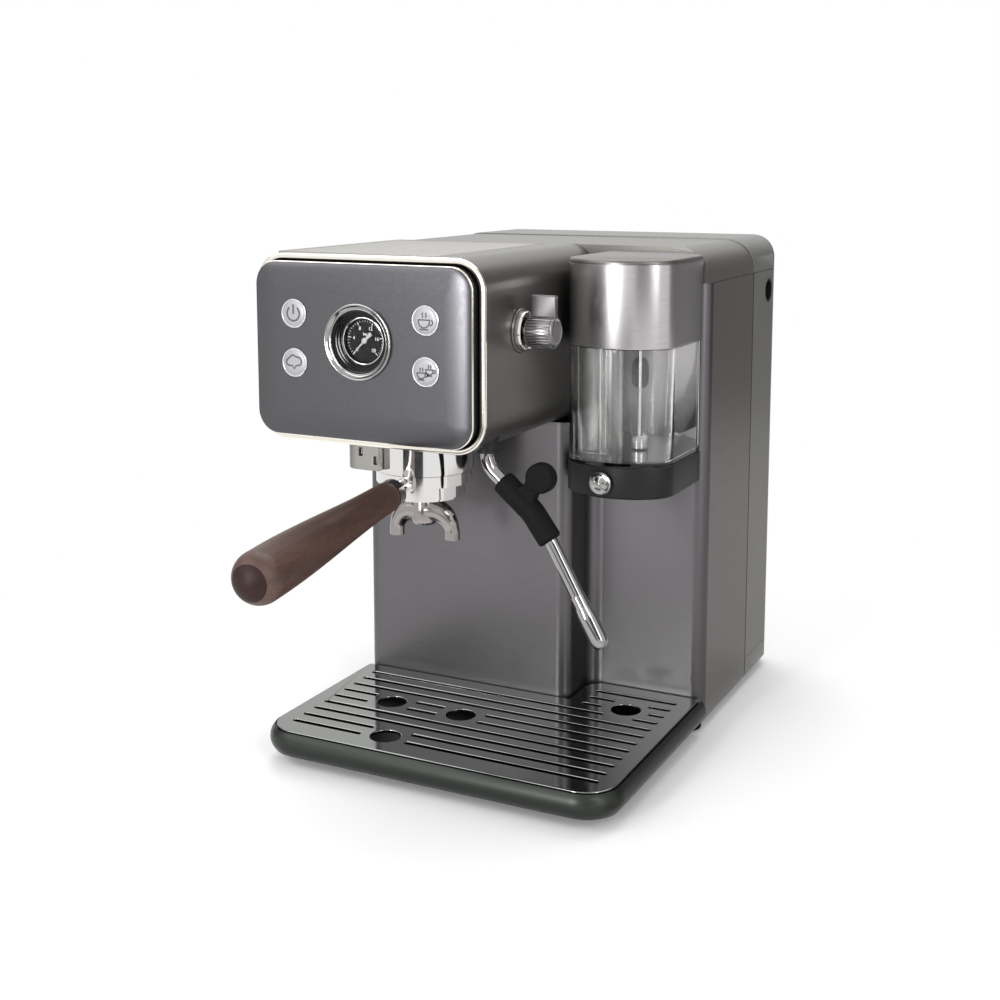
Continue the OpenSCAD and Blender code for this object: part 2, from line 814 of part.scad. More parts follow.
module group_collar() {
    color("silver") translate([head_mid, -group_y, 0]) difference() {
        union() {
            bar(collar_d / 2 - 0.8, collar_z, head_z);
            bar(collar_d / 2, collar_z + 0.8, head_z - 5);
            bar(collar_neck_d / 2, head_z - eps, shelf_z + shelf_t);
        }
        bar(filter_r + 0.8, collar_z - 1, ear_z);
        bar(collar_d / 2 - 3, collar_z + lip_h, body_top_z + 1);
        bar(filter_r + 0.8, body_top_z, gasket_z + gasket_h);
        bar(2.5, collar_z, shelf_z + 10);
        for (a = [0, 180]) rotate([0, 0, a + 90 + lock_angle - unlock_turn - ear_angle / 2 - 3])
            rotate_extrude(angle = ear_angle + 6) translate([filter_r, collar_z - 1])
                square([collar_d / 2 - 3.15 - filter_r, lip_h + 2]);
    }
}

module group_gasket() {
    color("black") translate([head_mid, -group_y, 0])
        tube(filter_r + 0.6, basket_d / 2 + 0.4, gasket_z, gasket_z + gasket_h - 0.05);
}

module shower_screen() {
    color("silver") translate([head_mid, -group_y, 0]) difference() {
        union() {
            bar(basket_d / 2 + 0.2, screen_z, screen_z + screen_t);
            bar(8, screen_z + screen_t - eps, gasket_z + gasket_h);
        }
        bar(2, screen_z - 1, gasket_z + gasket_h + 1);
        for (ring = [1 : 3], i = [0 : ring * 8 - 1])
            rotate([0, 0, i * 45 / ring]) translate([4 + ring * 6, 0, screen_z - 1])
                cylinder(d = 1.5, h = screen_t + 2, $fn = 16);
    }
}

module screen_screw() {
    color("silver") translate([head_mid, -group_y, 0]) difference() {
        union() {
            translate([0, 0, screen_z - 1.2]) cylinder(r1 = 3, r2 = 3.6, h = 1.2);
            bar(1.95, screen_z - eps, gasket_z + gasket_h + 5);
        }
        block(-3, 3, -0.5, 0.5, screen_z - 2, screen_z - 0.6);
    }
}

module thermoblock() {
    top = shelf_z + shelf_t + heater_h;
    color("silver") difference() {
        union() {
            along_z(shelf_z + shelf_t, top)
                round_rect(head_mid - heater_w / 2, head_mid + heater_w / 2,
                    -group_y - 30, block_back, 12);
            for (i = [-1, 1]) translate([head_mid + i * 30, 5 - group_y, top - eps])
                cylinder(d = 10, h = 4);
        }
        translate([rise_x, block_back + 1, port_h]) rotate([90, 0, 0]) cylinder(d = 5.2, h = 12);
        translate([head_mid + heater_w / 2 + 1, steam_y, port_h]) rotate([0, -90, 0]) cylinder(d = 5.2, h = 12);
    }
}

module pump() {
    color("black") translate([pump_x, pump_y, pump_z]) rotate([0, 90, 0]) {
        bar(pump_r, 0, pump_l);
        bar(coil_r, 14, 50);
        bar(4, -nozzle_l, 1);
        bar(4, pump_l - 1, pump_l + nozzle_l);
    }
}

module pump_mounts() {
    color("dimgray") for (x = [pump_x + 3, pump_x + pump_l - 12])
        difference() {
            block(x, x + 8, pump_y - 16, pump_y + 16, floor_z, pump_z + 4);
            translate([x - 1, pump_y, pump_z]) rotate([0, 90, 0]) cylinder(r = pump_r + 0.05, h = 10);
            block(x - 1, x + 9, pump_y - pump_r - 0.05, pump_y + pump_r + 0.05, pump_z, pump_z + 5);
        }
}

// Hose through a list of points, with round corners
module hose(points) {
    for (i = [0 : len(points) - 2]) {
        d = points[i + 1] - points[i];
        translate(points[i])
            rotate([0, acos(d[2] / norm(d)), atan2(d[1], d[0])]) cylinder(d = hose_d, h = norm(d));
        if (i > 0) translate(points[i]) sphere(d = hose_d);
    }
}

module water_pipes() {
    valve_z = head_z + knob_z;
    color("white") {
        // Suction: tank seat to pump
        hose([[head_mid, tank_mid_y - 13.2, suction_z], [head_mid, pump_y + 22, suction_z],
            [pump_x - 14, pump_y + 22, suction_z], [pump_x - 14, pump_y, suction_z],
            [pump_x - 14, pump_y, pump_z], [pump_x - nozzle_l, pump_y, pump_z]]);
        // Pressure: pump to the heater
        hose([[pump_x + pump_l + nozzle_l, pump_y, pump_z], [rise_x, pump_y, pump_z],
            [rise_x, pump_y, port_h], [rise_x, block_back - 4, port_h]]);
    }
    color("silver") {
        // Steam: heater to valve, valve to the steam pipe
        hose([[head_mid + heater_w / 2 - 4, steam_y, port_h], [steam_x, steam_y, port_h],
            [steam_x, steam_y, valve_z], [steam_x, 9 - knob_y, valve_z]]);
        hose([[wand_x, -knob_y, valve_z - 9], [wand_x, -knob_y, port_h + 10],
            [wand_x, -wand_y, port_h + 10], [wand_x, -wand_y, wand_top + gap]]);
    }
}

module steam_valve() {
    color("goldenrod") translate([head_right - shell_t, -knob_y, head_z + knob_z]) rotate([0, 90, 0])
        difference() {
            union() {
                bar(5.9, -22, shell_t - 0.2);
                bar(9, -34, -4);
            }
            bar(3, -10, shell_t + 1);
        }
}

module knob_ring() {
    color("gainsboro") translate([head_right, -knob_y, head_z + knob_z]) rotate([0, 90, 0])
        difference() {
            union() {
                bar(ring_d / 2, 0, ring_t - 1.5);
                bar(ring_d / 2 - 1.5, 0, ring_t);
            }
            bar(5, -1, ring_t + 1);
        }
}

module steam_knob() {
    flutes = 28;
    color("gray") translate([head_right, -knob_y, head_z + knob_z]) rotate([0, 90, 0]) {
        difference() {
            union() {
                bar(knob_d / 2, ring_t + knob_gap, ring_t + knob_gap + knob_l - 1);
                bar(knob_d / 2 - 1, ring_t + knob_gap, ring_t + knob_gap + knob_l);
            }
            for (i = [0 : flutes - 1]) rotate([0, 0, i * 360 / flutes])
                translate([knob_d / 2 + 0.25, 0, ring_t + knob_gap + 1])
                    cylinder(r = 0.7, h = knob_l, $fn = 16);
        }
        bar(2.95, -6, ring_t + knob_gap + 1);
    }
    color("gray") translate([head_right + ring_t + knob_gap + 1.5, -knob_y - lever_t / 2,
        head_z + knob_z + knob_d / 2 - 3]) cube([lever_l, lever_t, lever_h - knob_d / 2 + 3]);
}

module wand_socket() {
    color("dimgray") translate([wand_x, -wand_y, 0]) difference() {
        bar(socket_d / 2, head_z - 1, shelf_z);
        bar(journal_d / 2 + 0.05, head_z - 2, shelf_z + 1);
        bar(journal_d / 2 + 2, wand_seat, shelf_z + 1);
    }
}

// Places children in the steam pipe's own frame, which runs down from the socket
module wand_frame() {
    translate([wand_x, -wand_y, wand_z]) mirror([0, 0, 1]) children();
}

module steam_pipe() {
    color("gainsboro") {
        wand_frame() pipe_run(wand_run, wand_d / 2, -2, wand_l);
        translate([wand_x, -wand_y, 0]) {
            bar(journal_d / 2, wand_z + 0.5, wand_top);
            bar(journal_d / 2 + 1.7, wand_seat + gap, wand_seat + gap + 2);
        }
    }
}

module wand_grip() {
    color("black") wand_frame() difference() {
        union() {
            pipe_run(wand_run, grip_d / 2, grip_from, grip_to);
            on_pipe(wand_run, tab_at) {
                translate([tab_out, grip_d * 0.3, 0]) rotate([90, 0, 0]) cylinder(d = tab_d, h = grip_d * 0.6);
                translate([0, -grip_d * 0.3, -tab_d * 0.3]) cube([tab_out, grip_d * 0.6, tab_d * 0.6]);
            }
        }
        pipe_run(wand_run, wand_d / 2 + 0.05, grip_from - 1, grip_to + 1);
    }
}

module steam_tip() {
    color("gainsboro") wand_frame() on_pipe(wand_run, wand_l - tip_depth) difference() {
        union() {
            cylinder(d1 = wand_d + 0.4, d2 = tip_d, h = 5);
            bar(tip_d / 2, 5 - eps, tip_l - 4);
            translate([0, 0, tip_l - 4 - eps]) cylinder(d1 = tip_d, d2 = tip_d - 5, h = 4);
        }
        bar(wand_d / 2 + 0.05, -1, tip_depth + gap);
        bar(1, 0, tip_l + 1);
    }
}

// Places children at the group's axis, turned to the locked handle, with the handle along -Y
module at_group() {
    translate([head_mid, -group_y, 0]) rotate([0, 0, lock_angle]) children();
}

module portafilter() {
    color("gainsboro") at_group() difference() {
        union() {
            bar(filter_r, body_bottom_z + 1.5, body_top_z);
            bar(filter_r - 1.5, body_bottom_z, body_bottom_z + 2);
            bar(filter_d / 2 + 1, collar_z - 8, collar_z - 0.4);
            for (a = [0, 180]) rotate([0, 0, a + 90 - ear_angle / 2])
                rotate_extrude(angle = ear_angle) translate([filter_r - 1, ear_z])
                    square([ear_reach - filter_r + 1, ear_h]);
            bar(4, body_bottom_z - 4, body_bottom_z + 1);
            translate([0, 0, handle_z]) rotate([90 + handle_tilt, 0, 0]) {
                bar(5.5, filter_r - 2, neck_reach);
                bar(4, neck_reach - eps, neck_reach + 60);
                bar(9.4, neck_reach - 8, neck_reach - gap);
            }
        }
        bar(basket_d / 2 + basket_t + 0.2, body_bottom_z + 3, body_top_z + 1);
        bar(2.5, body_bottom_z - 10, body_bottom_z + 5);
    }
}

module filter_basket() {
    color("silver") at_group() difference() {
        union() {
            bar(basket_d / 2 + basket_t, basket_z, body_top_z + rim_h);
            bar(basket_rim, body_top_z + 0.05, body_top_z + rim_h);
        }
        bar(basket_d / 2, basket_z + basket_t, body_top_z + rim_h + 1);
        for (ring = [1 : 3], i = [0 : ring * 8 - 1])
            rotate([0, 0, i * 45 / ring]) translate([ring * 7, 0, basket_z - 1])
                cylinder(d = 1.2, h = 4, $fn = 16);
    }
}

module spout() {
    color("gainsboro") at_group() difference() {
        union() {
            bar(9, spout_z - spout_stem_h, spout_z - 0.05);
            for (side = [0, 1]) mirror([side, 0, 0]) spout_arm(spout_d / 2);
        }
        for (side = [0, 1]) mirror([side, 0, 0]) spout_arm(spout_d / 2 - 1.2);
        bar(4.05, spout_z - 6, spout_z + 1);
    }
}

// One spout: a quarter bend from the stem, then a short straight end
module spout_arm(r) {
    translate([spout_reach - spout_bend, 0, spout_z - spout_drop - spout_bend]) {
        rotate([90, 0, 0]) rotate_extrude(angle = 90) translate([spout_bend, 0]) circle(r);
        translate([spout_bend, 0, -spout_tip]) cylinder(r = r, h = spout_tip);
    }
}

module wood_handle() {
    swell = wood_l - 24;
    color("saddlebrown") at_group() translate([0, 0, handle_z]) rotate([90 + handle_tilt, 0, 0])
        translate([0, 0, neck_reach]) rotate_extrude() difference() {
            union() {
                polygon([[0, 0], [neck_d / 2 - 1, 0], [neck_d / 2, 1], [neck_d / 2 + 0.3, 10],
                    [neck_d / 2 + 1.6, swell * 0.35], [butt_d / 2 - 1.2, swell * 0.72],
                    [butt_d / 2, swell], [butt_d / 2, wood_l - 14], [0, wood_l - 14]]);
                intersection() {
                    translate([0, wood_l - 14]) circle(butt_d / 2);
                    translate([0, wood_l - 14 - eps]) square([butt_d, 14 - cap_l]);
                }
            }
            translate([-1, -1]) square([5.05, 62]);
        }
}

module handle_cap() {
    color("saddlebrown") at_group() translate([0, 0, handle_z]) rotate([90 + handle_tilt, 0, 0])
        translate([0, 0, neck_reach]) rotate_extrude() intersection() {
            translate([0, wood_l - 14]) circle(butt_d / 2);
            translate([0, wood_l - cap_l]) square([butt_d, 20]);
        }
}

// ---- Drip tray ----

// Section of the tray's swollen side: distance outwards from the grate's outline, height
module tray_section(depth) {
    swell_r = 10.5;
    intersection() {
        union() {
            translate([tray_swell - swell_r, tray_z + tray_h / 2]) circle(swell_r);
            translate([-depth, tray_z]) square([depth + tray_swell - swell_r, tray_h]);
        }
        translate([-depth, tray_z]) square([depth + tray_swell, tray_h]);
    }
}

// Plan inside the tray's outline: front corners round, the back follows the front panel.
// bay_r rounds it into the bay's corner; hug fills behind the round upright edge of the step
module tray_plan(inset, bay_r = edge_r, hug = true) {
    r = tray_r - inset;
    step = step_x + gap;
    difference() {
        union() {
            translate([left + inset, tray_front + inset + r])
                square([body_w - 2 * inset, tray_back - tray_front - 2 * inset - r]);
            translate([left + inset + r, tray_front + inset])
                square([body_w - 2 * inset - 2 * r, tray_back - tray_front - 2 * inset]);
            for (x = [left + inset + r, right - inset - r])
                translate([x, tray_front + inset + r]) circle(r);
            translate([step + inset, -60])
                square([right - step - 2 * inset, bay_back - inset + 60]);
            if (hug) translate([step_x - edge_r, tray_back - inset - eps])
                square([edge_r + gap + inset + eps, edge_r + gap + inset + eps]);
        }
        translate([step_x - edge_r, edge_r]) circle(edge_r + gap + inset);
        translate([step_x - edge_r - 40, tray_back - inset + eps / 2]) square([40, 60]);
        // Round into the bay's back left corner
        difference() {
            translate([step - 1, bay_back - inset - bay_r]) square([bay_r + inset + 1, bay_r + inset + 2]);
            translate([step + inset + bay_r, bay_back - inset - bay_r]) circle(bay_r);
            translate([step + inset + bay_r, 0]) square([60, 60]);
        }
    }
}

module drip_tray() {
    color("dimgray") difference() {
        union() {
            along_z(tray_z, tray_top) tray_plan(0);
            for (x = [left, right], y0 = [tray_front + tray_r]) {
                back = x < 0 ? tray_back : bay_back;
                translate([x, back, 0]) rotate([90, 0, 0]) linear_extrude(back - y0)
                    mirror([x < 0 ? 1 : 0, 0]) tray_section(tray_r - 1);
            }
            translate([left + tray_r, tray_front, 0]) rotate([90, 0, 90])
                linear_extrude(body_w - 2 * tray_r) mirror([1, 0]) tray_section(tray_r - 1);
            for (x = [left + tray_r, right - tray_r])
                translate([x, tray_front + tray_r, 0]) rotate_extrude()
                    translate([tray_r, 0]) tray_section(tray_r);
        }
        along_z(tray_z + tray_t, tray_top + 1) tray_plan(tray_t + 1.5);
        along_z(grate_z - gap, tray_top + 1) tray_plan(-0.2);
    }
}

module grate() {
    rows = floor((bay_back - tray_front - slot_margin) / slot_pitch);
    color("darkslategray") difference() {
        along_z(grate_z, grate_z + grate_t) tray_plan(grate_gap, grate_bay_r, false);
        for (i = [0 : rows]) {
            y = tray_front + slot_margin + 7 + i * slot_pitch;
            behind = y > tray_back - slot_margin / 2;
            x0 = behind ? step_x + slot_margin : left + slot_margin;
            if (y < bay_back - slot_margin / 2) grate_slot(x0, right - slot_margin, y);
        }
        for (d = drains) translate([d[0], d[1], grate_z - 1]) cylinder(d = drain_d, h = grate_t + 2);
    }
}

// One slot with round ends; it leaves a plain land round each drain hole
module grate_slot(x0, x1, y) {
    land = drain_d / 2 + 7;
    along_z(grate_z - 1, grate_z + grate_t + 1) difference() {
        round_rect(x0, x1, y - slot_w / 2, y + slot_w / 2, slot_w / 2 - 0.01);
        for (d = drains) if (abs(d[1] - y) < land) {
            half = sqrt(land * land - (d[1] - y) * (d[1] - y));
            translate([d[0] - half, y - slot_w]) square([2 * half, 2 * slot_w]);
        }
    }
}

// ---- Water tank ----

module water_tank() {
    color("gray") difference() {
        along_z(plinth_z, seam_z - gap) tank_plan(0);
        along_z(plinth_z + tank_t, seam_z + 1) tank_plan(tank_t);
        translate([head_mid, (tank_y + body_d) / 2, plinth_z - 1]) cylinder(d = 7, h = 10);
        for (x = [left - 1, right - tank_t - 1])
            translate([x, finger_y, finger_z]) rotate([0, 90, 0]) cylinder(d = finger_d, h = tank_t + 2);
    }
}

module tank_grips() {
    color("black") for (side = [-1, 1]) translate([side * body_w / 2, finger_y, finger_z])
        rotate([0, -side * 90, 0]) difference() {
            bar(finger_d / 2 - 0.05, 0.2, finger_depth);
            bar(finger_d / 2 - 1.6, -1, finger_depth - 1.5);
        }
}

module tank_lid() {
    raise = 0.8;
    color("gray") difference() {
        intersection() {
            translate([0, 0, raise]) along_y(tank_y, body_d) top_profile(0, seam_z - raise);
            along_z(seam_z, body_h + 5) tank_plan(0);
        }
        translate([0, 0, raise - shell_t]) intersection() {
            along_y(tank_y + shell_t, body_d - shell_t) top_profile(shell_t, seam_z - 5);
            along_z(seam_z - 5, body_h + 5) tank_plan(shell_t);
        }
    }
}

// ---- Milk jug ----

// D-shaped plan: flat back, round corners and a slightly bowed front
module milk_plan(inset, back_inset) {
    x0 = milk_x - milk_w / 2 + inset;
    x1 = milk_x + milk_w / 2 - inset;
    front = milk_front + milk_bow + inset;
    back = milk_back - back_inset;
    r = milk_corner - inset;
    half = (x1 - x0) / 2 - r * 0.62;
    bow_r = (half * half + milk_bow * milk_bow) / (2 * milk_bow);
    back_r = max(milk_back_r - inset, 0.5);
    translate([x0, front + r]) square([x1 - x0, back - back_r - front - r]);
    translate([x0 + r, front]) square([x1 - x0 - 2 * r, back - front]);
    translate([x0 + back_r, back - back_r - eps]) square([x1 - x0 - 2 * back_r, back_r + eps]);
    for (x = [x0 + r, x1 - r]) translate([x, front + r]) circle(r);
    for (x = [x0 + back_r, x1 - back_r]) translate([x, back - back_r]) circle(back_r);
    intersection() {
        translate([milk_x, front - milk_bow + bow_r]) circle(bow_r, $fn = 128);
        translate([x0 + r * 0.5, front - milk_bow]) square([x1 - x0 - r, milk_bow + 8]);
    }
}

module milk_dock() {
    color("dimgray") difference() {
        union() {
            block(milk_x - dock_w / 2, milk_x + dock_w / 2, bay_d - dock_tongue, bay_d - 0.05,
                milk_z + 3, milk_z + 3 + dock_h);
            block(milk_x - dock_w / 2, milk_x + dock_w / 2, bay_d + sheet_t, bay_d + sheet_t + 3,
                milk_z - 4, milk_z + 16);
            for (x = [-1, 1]) facing_front(milk_x + x * 10, bay_d + sheet_t + 1, milk_z + 6)
                cylinder(d = 3.9, h = sheet_t + 2);
        }
    }
}

module milk_port() {
    color("black") difference() {
        along_y(bay_d - 0.05, bay_d + 4) translate([port_x, port_z])
            round_rect(-6, 6, -11.5, 11.5, 5.8);
        translate([port_x, bay_d - 1, port_z + 4.5]) rotate([-90, 0, 0]) cylinder(d = 6, h = 4);
    }
}

module milk_base() {
    color("black") difference() {
        union() {
            along_z(milk_z + 1, milk_clear_z) milk_plan(0, 0);
            along_z(milk_z, milk_z + 2) milk_plan(1, 1);
            facing_front(froth_x, froth_y, froth_z) bar(froth_d / 2 + 0.6, -6, 0);
        }
        block(milk_x - dock_w / 2 - gap, milk_x + dock_w / 2 + gap, bay_d - dock_tongue - gap,
            bay_d + 1, milk_z + 3 - gap, milk_z + 3 + dock_h + gap);
        facing_front(froth_x, froth_y, froth_z) bar(3.05, -8, 8);
    }
}

module froth_dial() {
    color("gainsboro") facing_front(froth_x, froth_y, froth_z) {
        bar(froth_d / 2 - 0.8, gap, 4.5);
        bar(froth_d / 2, gap + 0.6, 3.9);
        bar(3, -7, gap + eps);
        bar(3.2, 4.4, 6.5);
    }
}

module milk_jug() {
    color("white", 0.3) difference() {
        along_z(milk_clear_z + gap, milk_lid_z - gap) milk_plan(0.6, 0.4);
        along_z(milk_clear_z + gap + milk_t, milk_lid_z + 1) milk_plan(0.6 + milk_t, 0.4 + milk_t);
    }
}

module milk_tube() {
    x0 = milk_x - 29;
    x1 = milk_x + 1;
    y0 = milk_front + 17;
    y1 = milk_front + 30;
    color("white", 0.6) difference() {
        along_z(milk_clear_z + milk_t + 2 * gap, milk_lid_z) round_rect(x0, x1, y0, y1, 6);
        along_z(milk_clear_z, milk_lid_z - 2) {
            round_rect(x0 + 1.8, x0 + 17, y0 + 1.8, y1 - 1.8, 4);
            round_rect(x0 + 19, x1 - 1.8, y0 + 1.8, y1 - 1.8, 4);
        }
    }
    color("silver") translate([milk_x + 6, milk_front + 42, 0]) {
        bar(6, milk_clear_z + milk_t + 2 * gap, milk_clear_z + 14);
        bar(2, milk_clear_z + 13, milk_lid_z);
    }
}

module milk_lid() {
    top = milk_lid_z + milk_lid_h;
    color("silver") difference() {
        union() {
            along_z(milk_lid_z, top - 1) milk_plan(0, 0);
            along_z(milk_lid_z, top) milk_plan(1, 1);
        }
        along_z(milk_lid_z + 2, top - 4) milk_plan(3, 3);
        along_z(top - 1.2, top + 1) milk_plan(3.5, 3.5);
    }
}

// Moves the machine frame to the part's origin
module placed() {
    translate([0, origin_y, 0]) children();
}

placed() base_plate();
placed() feet();
placed() side_panel_left();
placed() side_panel_right();
placed() front_panel();
placed() top_cover();
placed() dock_wall();
placed() plinth();
placed() tank_seat();
placed() cord_gland();
placed() chassis();
placed() head_housing();
placed() head_underside();
placed() head_frame();
placed() pad_seal();
placed() control_pad();
placed() cup_plate();
placed() button_board();
placed() gauge_bezel();
placed() gauge_case();
placed() gauge_dial();
placed() gauge_glass();
placed() group_bracket();
placed() group_collar();
placed() group_gasket();
placed() shower_screen();
placed() screen_screw();
placed() thermoblock();
placed() pump();
placed() pump_mounts();
placed() water_pipes();
placed() steam_valve();
placed() knob_ring();
placed() wand_socket();
placed() milk_dock();
placed() milk_port();
placed() button_power();
placed() button_steam();
placed() button_single();
placed() button_double();
placed() gauge_needle();
placed() steam_knob();
placed() steam_pipe();
placed() wand_grip();
placed() steam_tip();
placed() portafilter();
placed() filter_basket();
placed() spout();
placed() wood_handle();
placed() handle_cap();
placed() drip_tray();
placed() grate();
placed() water_tank();
placed() tank_grips();
placed() tank_lid();
placed() milk_base();
placed() milk_jug();
placed() milk_tube();
placed() milk_lid();
placed() froth_dial();
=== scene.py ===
"""Looks of a pump espresso machine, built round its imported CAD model.

Sizes are millimetres in the machine's own frame: X = 0 in the middle, Y = 0 on the left front
panel with -Y towards the user, Z = 0 on the worktop. Each finished mesh is turned to metres in
the CAD's row frame.
"""

import logging
import math
from dataclasses import dataclass
from enum import Enum
from functools import cached_property
from typing import Any, Callable, Sequence

import bmesh
import bpy
from mathutils import Matrix, Vector


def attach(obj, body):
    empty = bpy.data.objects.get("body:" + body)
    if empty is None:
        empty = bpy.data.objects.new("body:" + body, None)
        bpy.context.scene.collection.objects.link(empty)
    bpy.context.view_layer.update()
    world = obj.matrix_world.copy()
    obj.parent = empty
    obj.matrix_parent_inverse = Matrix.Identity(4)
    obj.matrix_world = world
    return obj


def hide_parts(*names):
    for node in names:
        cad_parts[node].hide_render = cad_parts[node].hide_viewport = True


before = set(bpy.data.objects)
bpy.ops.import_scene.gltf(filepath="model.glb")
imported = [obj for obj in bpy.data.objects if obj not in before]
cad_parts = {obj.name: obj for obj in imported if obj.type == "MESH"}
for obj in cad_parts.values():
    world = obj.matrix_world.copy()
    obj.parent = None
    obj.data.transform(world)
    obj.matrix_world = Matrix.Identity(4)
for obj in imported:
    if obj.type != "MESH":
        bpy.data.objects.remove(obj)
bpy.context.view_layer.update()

LOG = logging.getLogger("espresso_machine")
MM = 0.001
FRONT_SHIFT = 35.366  # the machine's Y = 0 lies this far along the row frame's Y
IDENTITY = Matrix.Identity(4)
UPRIGHT = Matrix(((1, 0, 0, 0), (0, 0, 1, 0), (0, 1, 0, 0), (0, 0, 0, 1)))  # drawn in X, Z; rises along Y
MERGE_M = 1e-6  # corners nearer than this are one
CREASE = math.radians(32)  # lathed and lofted pieces keep edges sharper than this
BEVEL_FROM = math.radians(38)  # bevels take the edges sharper than this
PRINT_MM = 0.05  # thickness of the dial's figures

Tree = bpy.types.NodeTree
Socket = bpy.types.NodeSocket
Piece = bpy.types.Object
Pair = tuple[float, float]
Point = tuple[float, float, float]
Flat = Sequence[Pair]
Plan = Callable[[float], Flat]  # an outline at an inset


class Brush(Enum):
    """Direction of a metal's brush lines, as the stretch of its noise along X, Y and Z."""

    ALONG_Y = (1.0, 0.02, 1.0)
    AROUND = (0.02, 0.02, 1.0)
    BLASTED = (1.0, 1.0, 1.0)


class Slot(Enum):
    """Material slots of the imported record."""

    RUBBER = "rubber"
    BODY_GREY = "body_grey"
    BRUSHED_STEEL = "brushed_steel"
    BLACK_PLASTIC = "black_plastic"
    CHROME = "chrome"
    PAD_GREY = "pad_grey"
    DIAL_BLACK = "dial_black"
    SATIN_METAL = "satin_metal"
    BUTTON_GREY = "button_grey"
    WALNUT = "walnut"
    GLOSS_BLACK = "gloss_black"
    CLEAR_PLASTIC = "clear_plastic"


# ---- Colour and nodes ----


def linear(colour: str) -> tuple[float, float, float, float]:
    """Turns an sRGB hex colour to linear RGBA.

    Args:
        colour: Six hex digits after a hash, such as "#646366".

    Returns:
        Red, green, blue and an alpha of 1, linear.
    """
    values = [int(colour[i : i + 2], 16) / 255 for i in (1, 3, 5)]
    curve = [v / 12.92 if v <= 0.04045 else ((v + 0.055) / 1.055) ** 2.4 for v in values]
    return (curve[0], curve[1], curve[2], 1.0)


def add_node(tree: Tree, kind: str, inputs: dict[Any, Any] | None = None, **settings: Any) -> bpy.types.Node:
    """Adds a node with its settings, values and links.

    Args:
        tree: Node tree that takes the node.
        kind: Blender's type name of the node.
        inputs: Value or source socket for each input, by name or index.
        **settings: Attributes of the node, set before its inputs.

    Returns:
        The new node.
    """
    node = tree.nodes.new(kind)
    for key, value in settings.items():
        setattr(node, key, value)
    for key, value in (inputs or {}).items():
        if isinstance(value, Socket):
            tree.links.new(value, node.inputs[key])
        else:
            node.inputs[key].default_value = value
    return node


def calc(tree: Tree, operation: str, *values: Any) -> Socket:
    """Returns the result of a maths node on values or sockets."""
    return add_node(tree, "ShaderNodeMath", dict(enumerate(values)), operation=operation).outputs[0]


def seen_plainly(tree: Tree) -> Socket:
    """Tells the rays that look at a surface: from the camera, off metal or through glass.

    Args:
        tree: Node tree that asks.

    Returns:
        A socket with 1 for such rays and 0 for the others.
    """
    path = add_node(tree, "ShaderNodeLightPath").outputs
    looks = calc(tree, "MAXIMUM", path["Is Camera Ray"], path["Is Glossy Ray"])
    return calc(tree, "MAXIMUM", looks, path["Is Transmission Ray"])


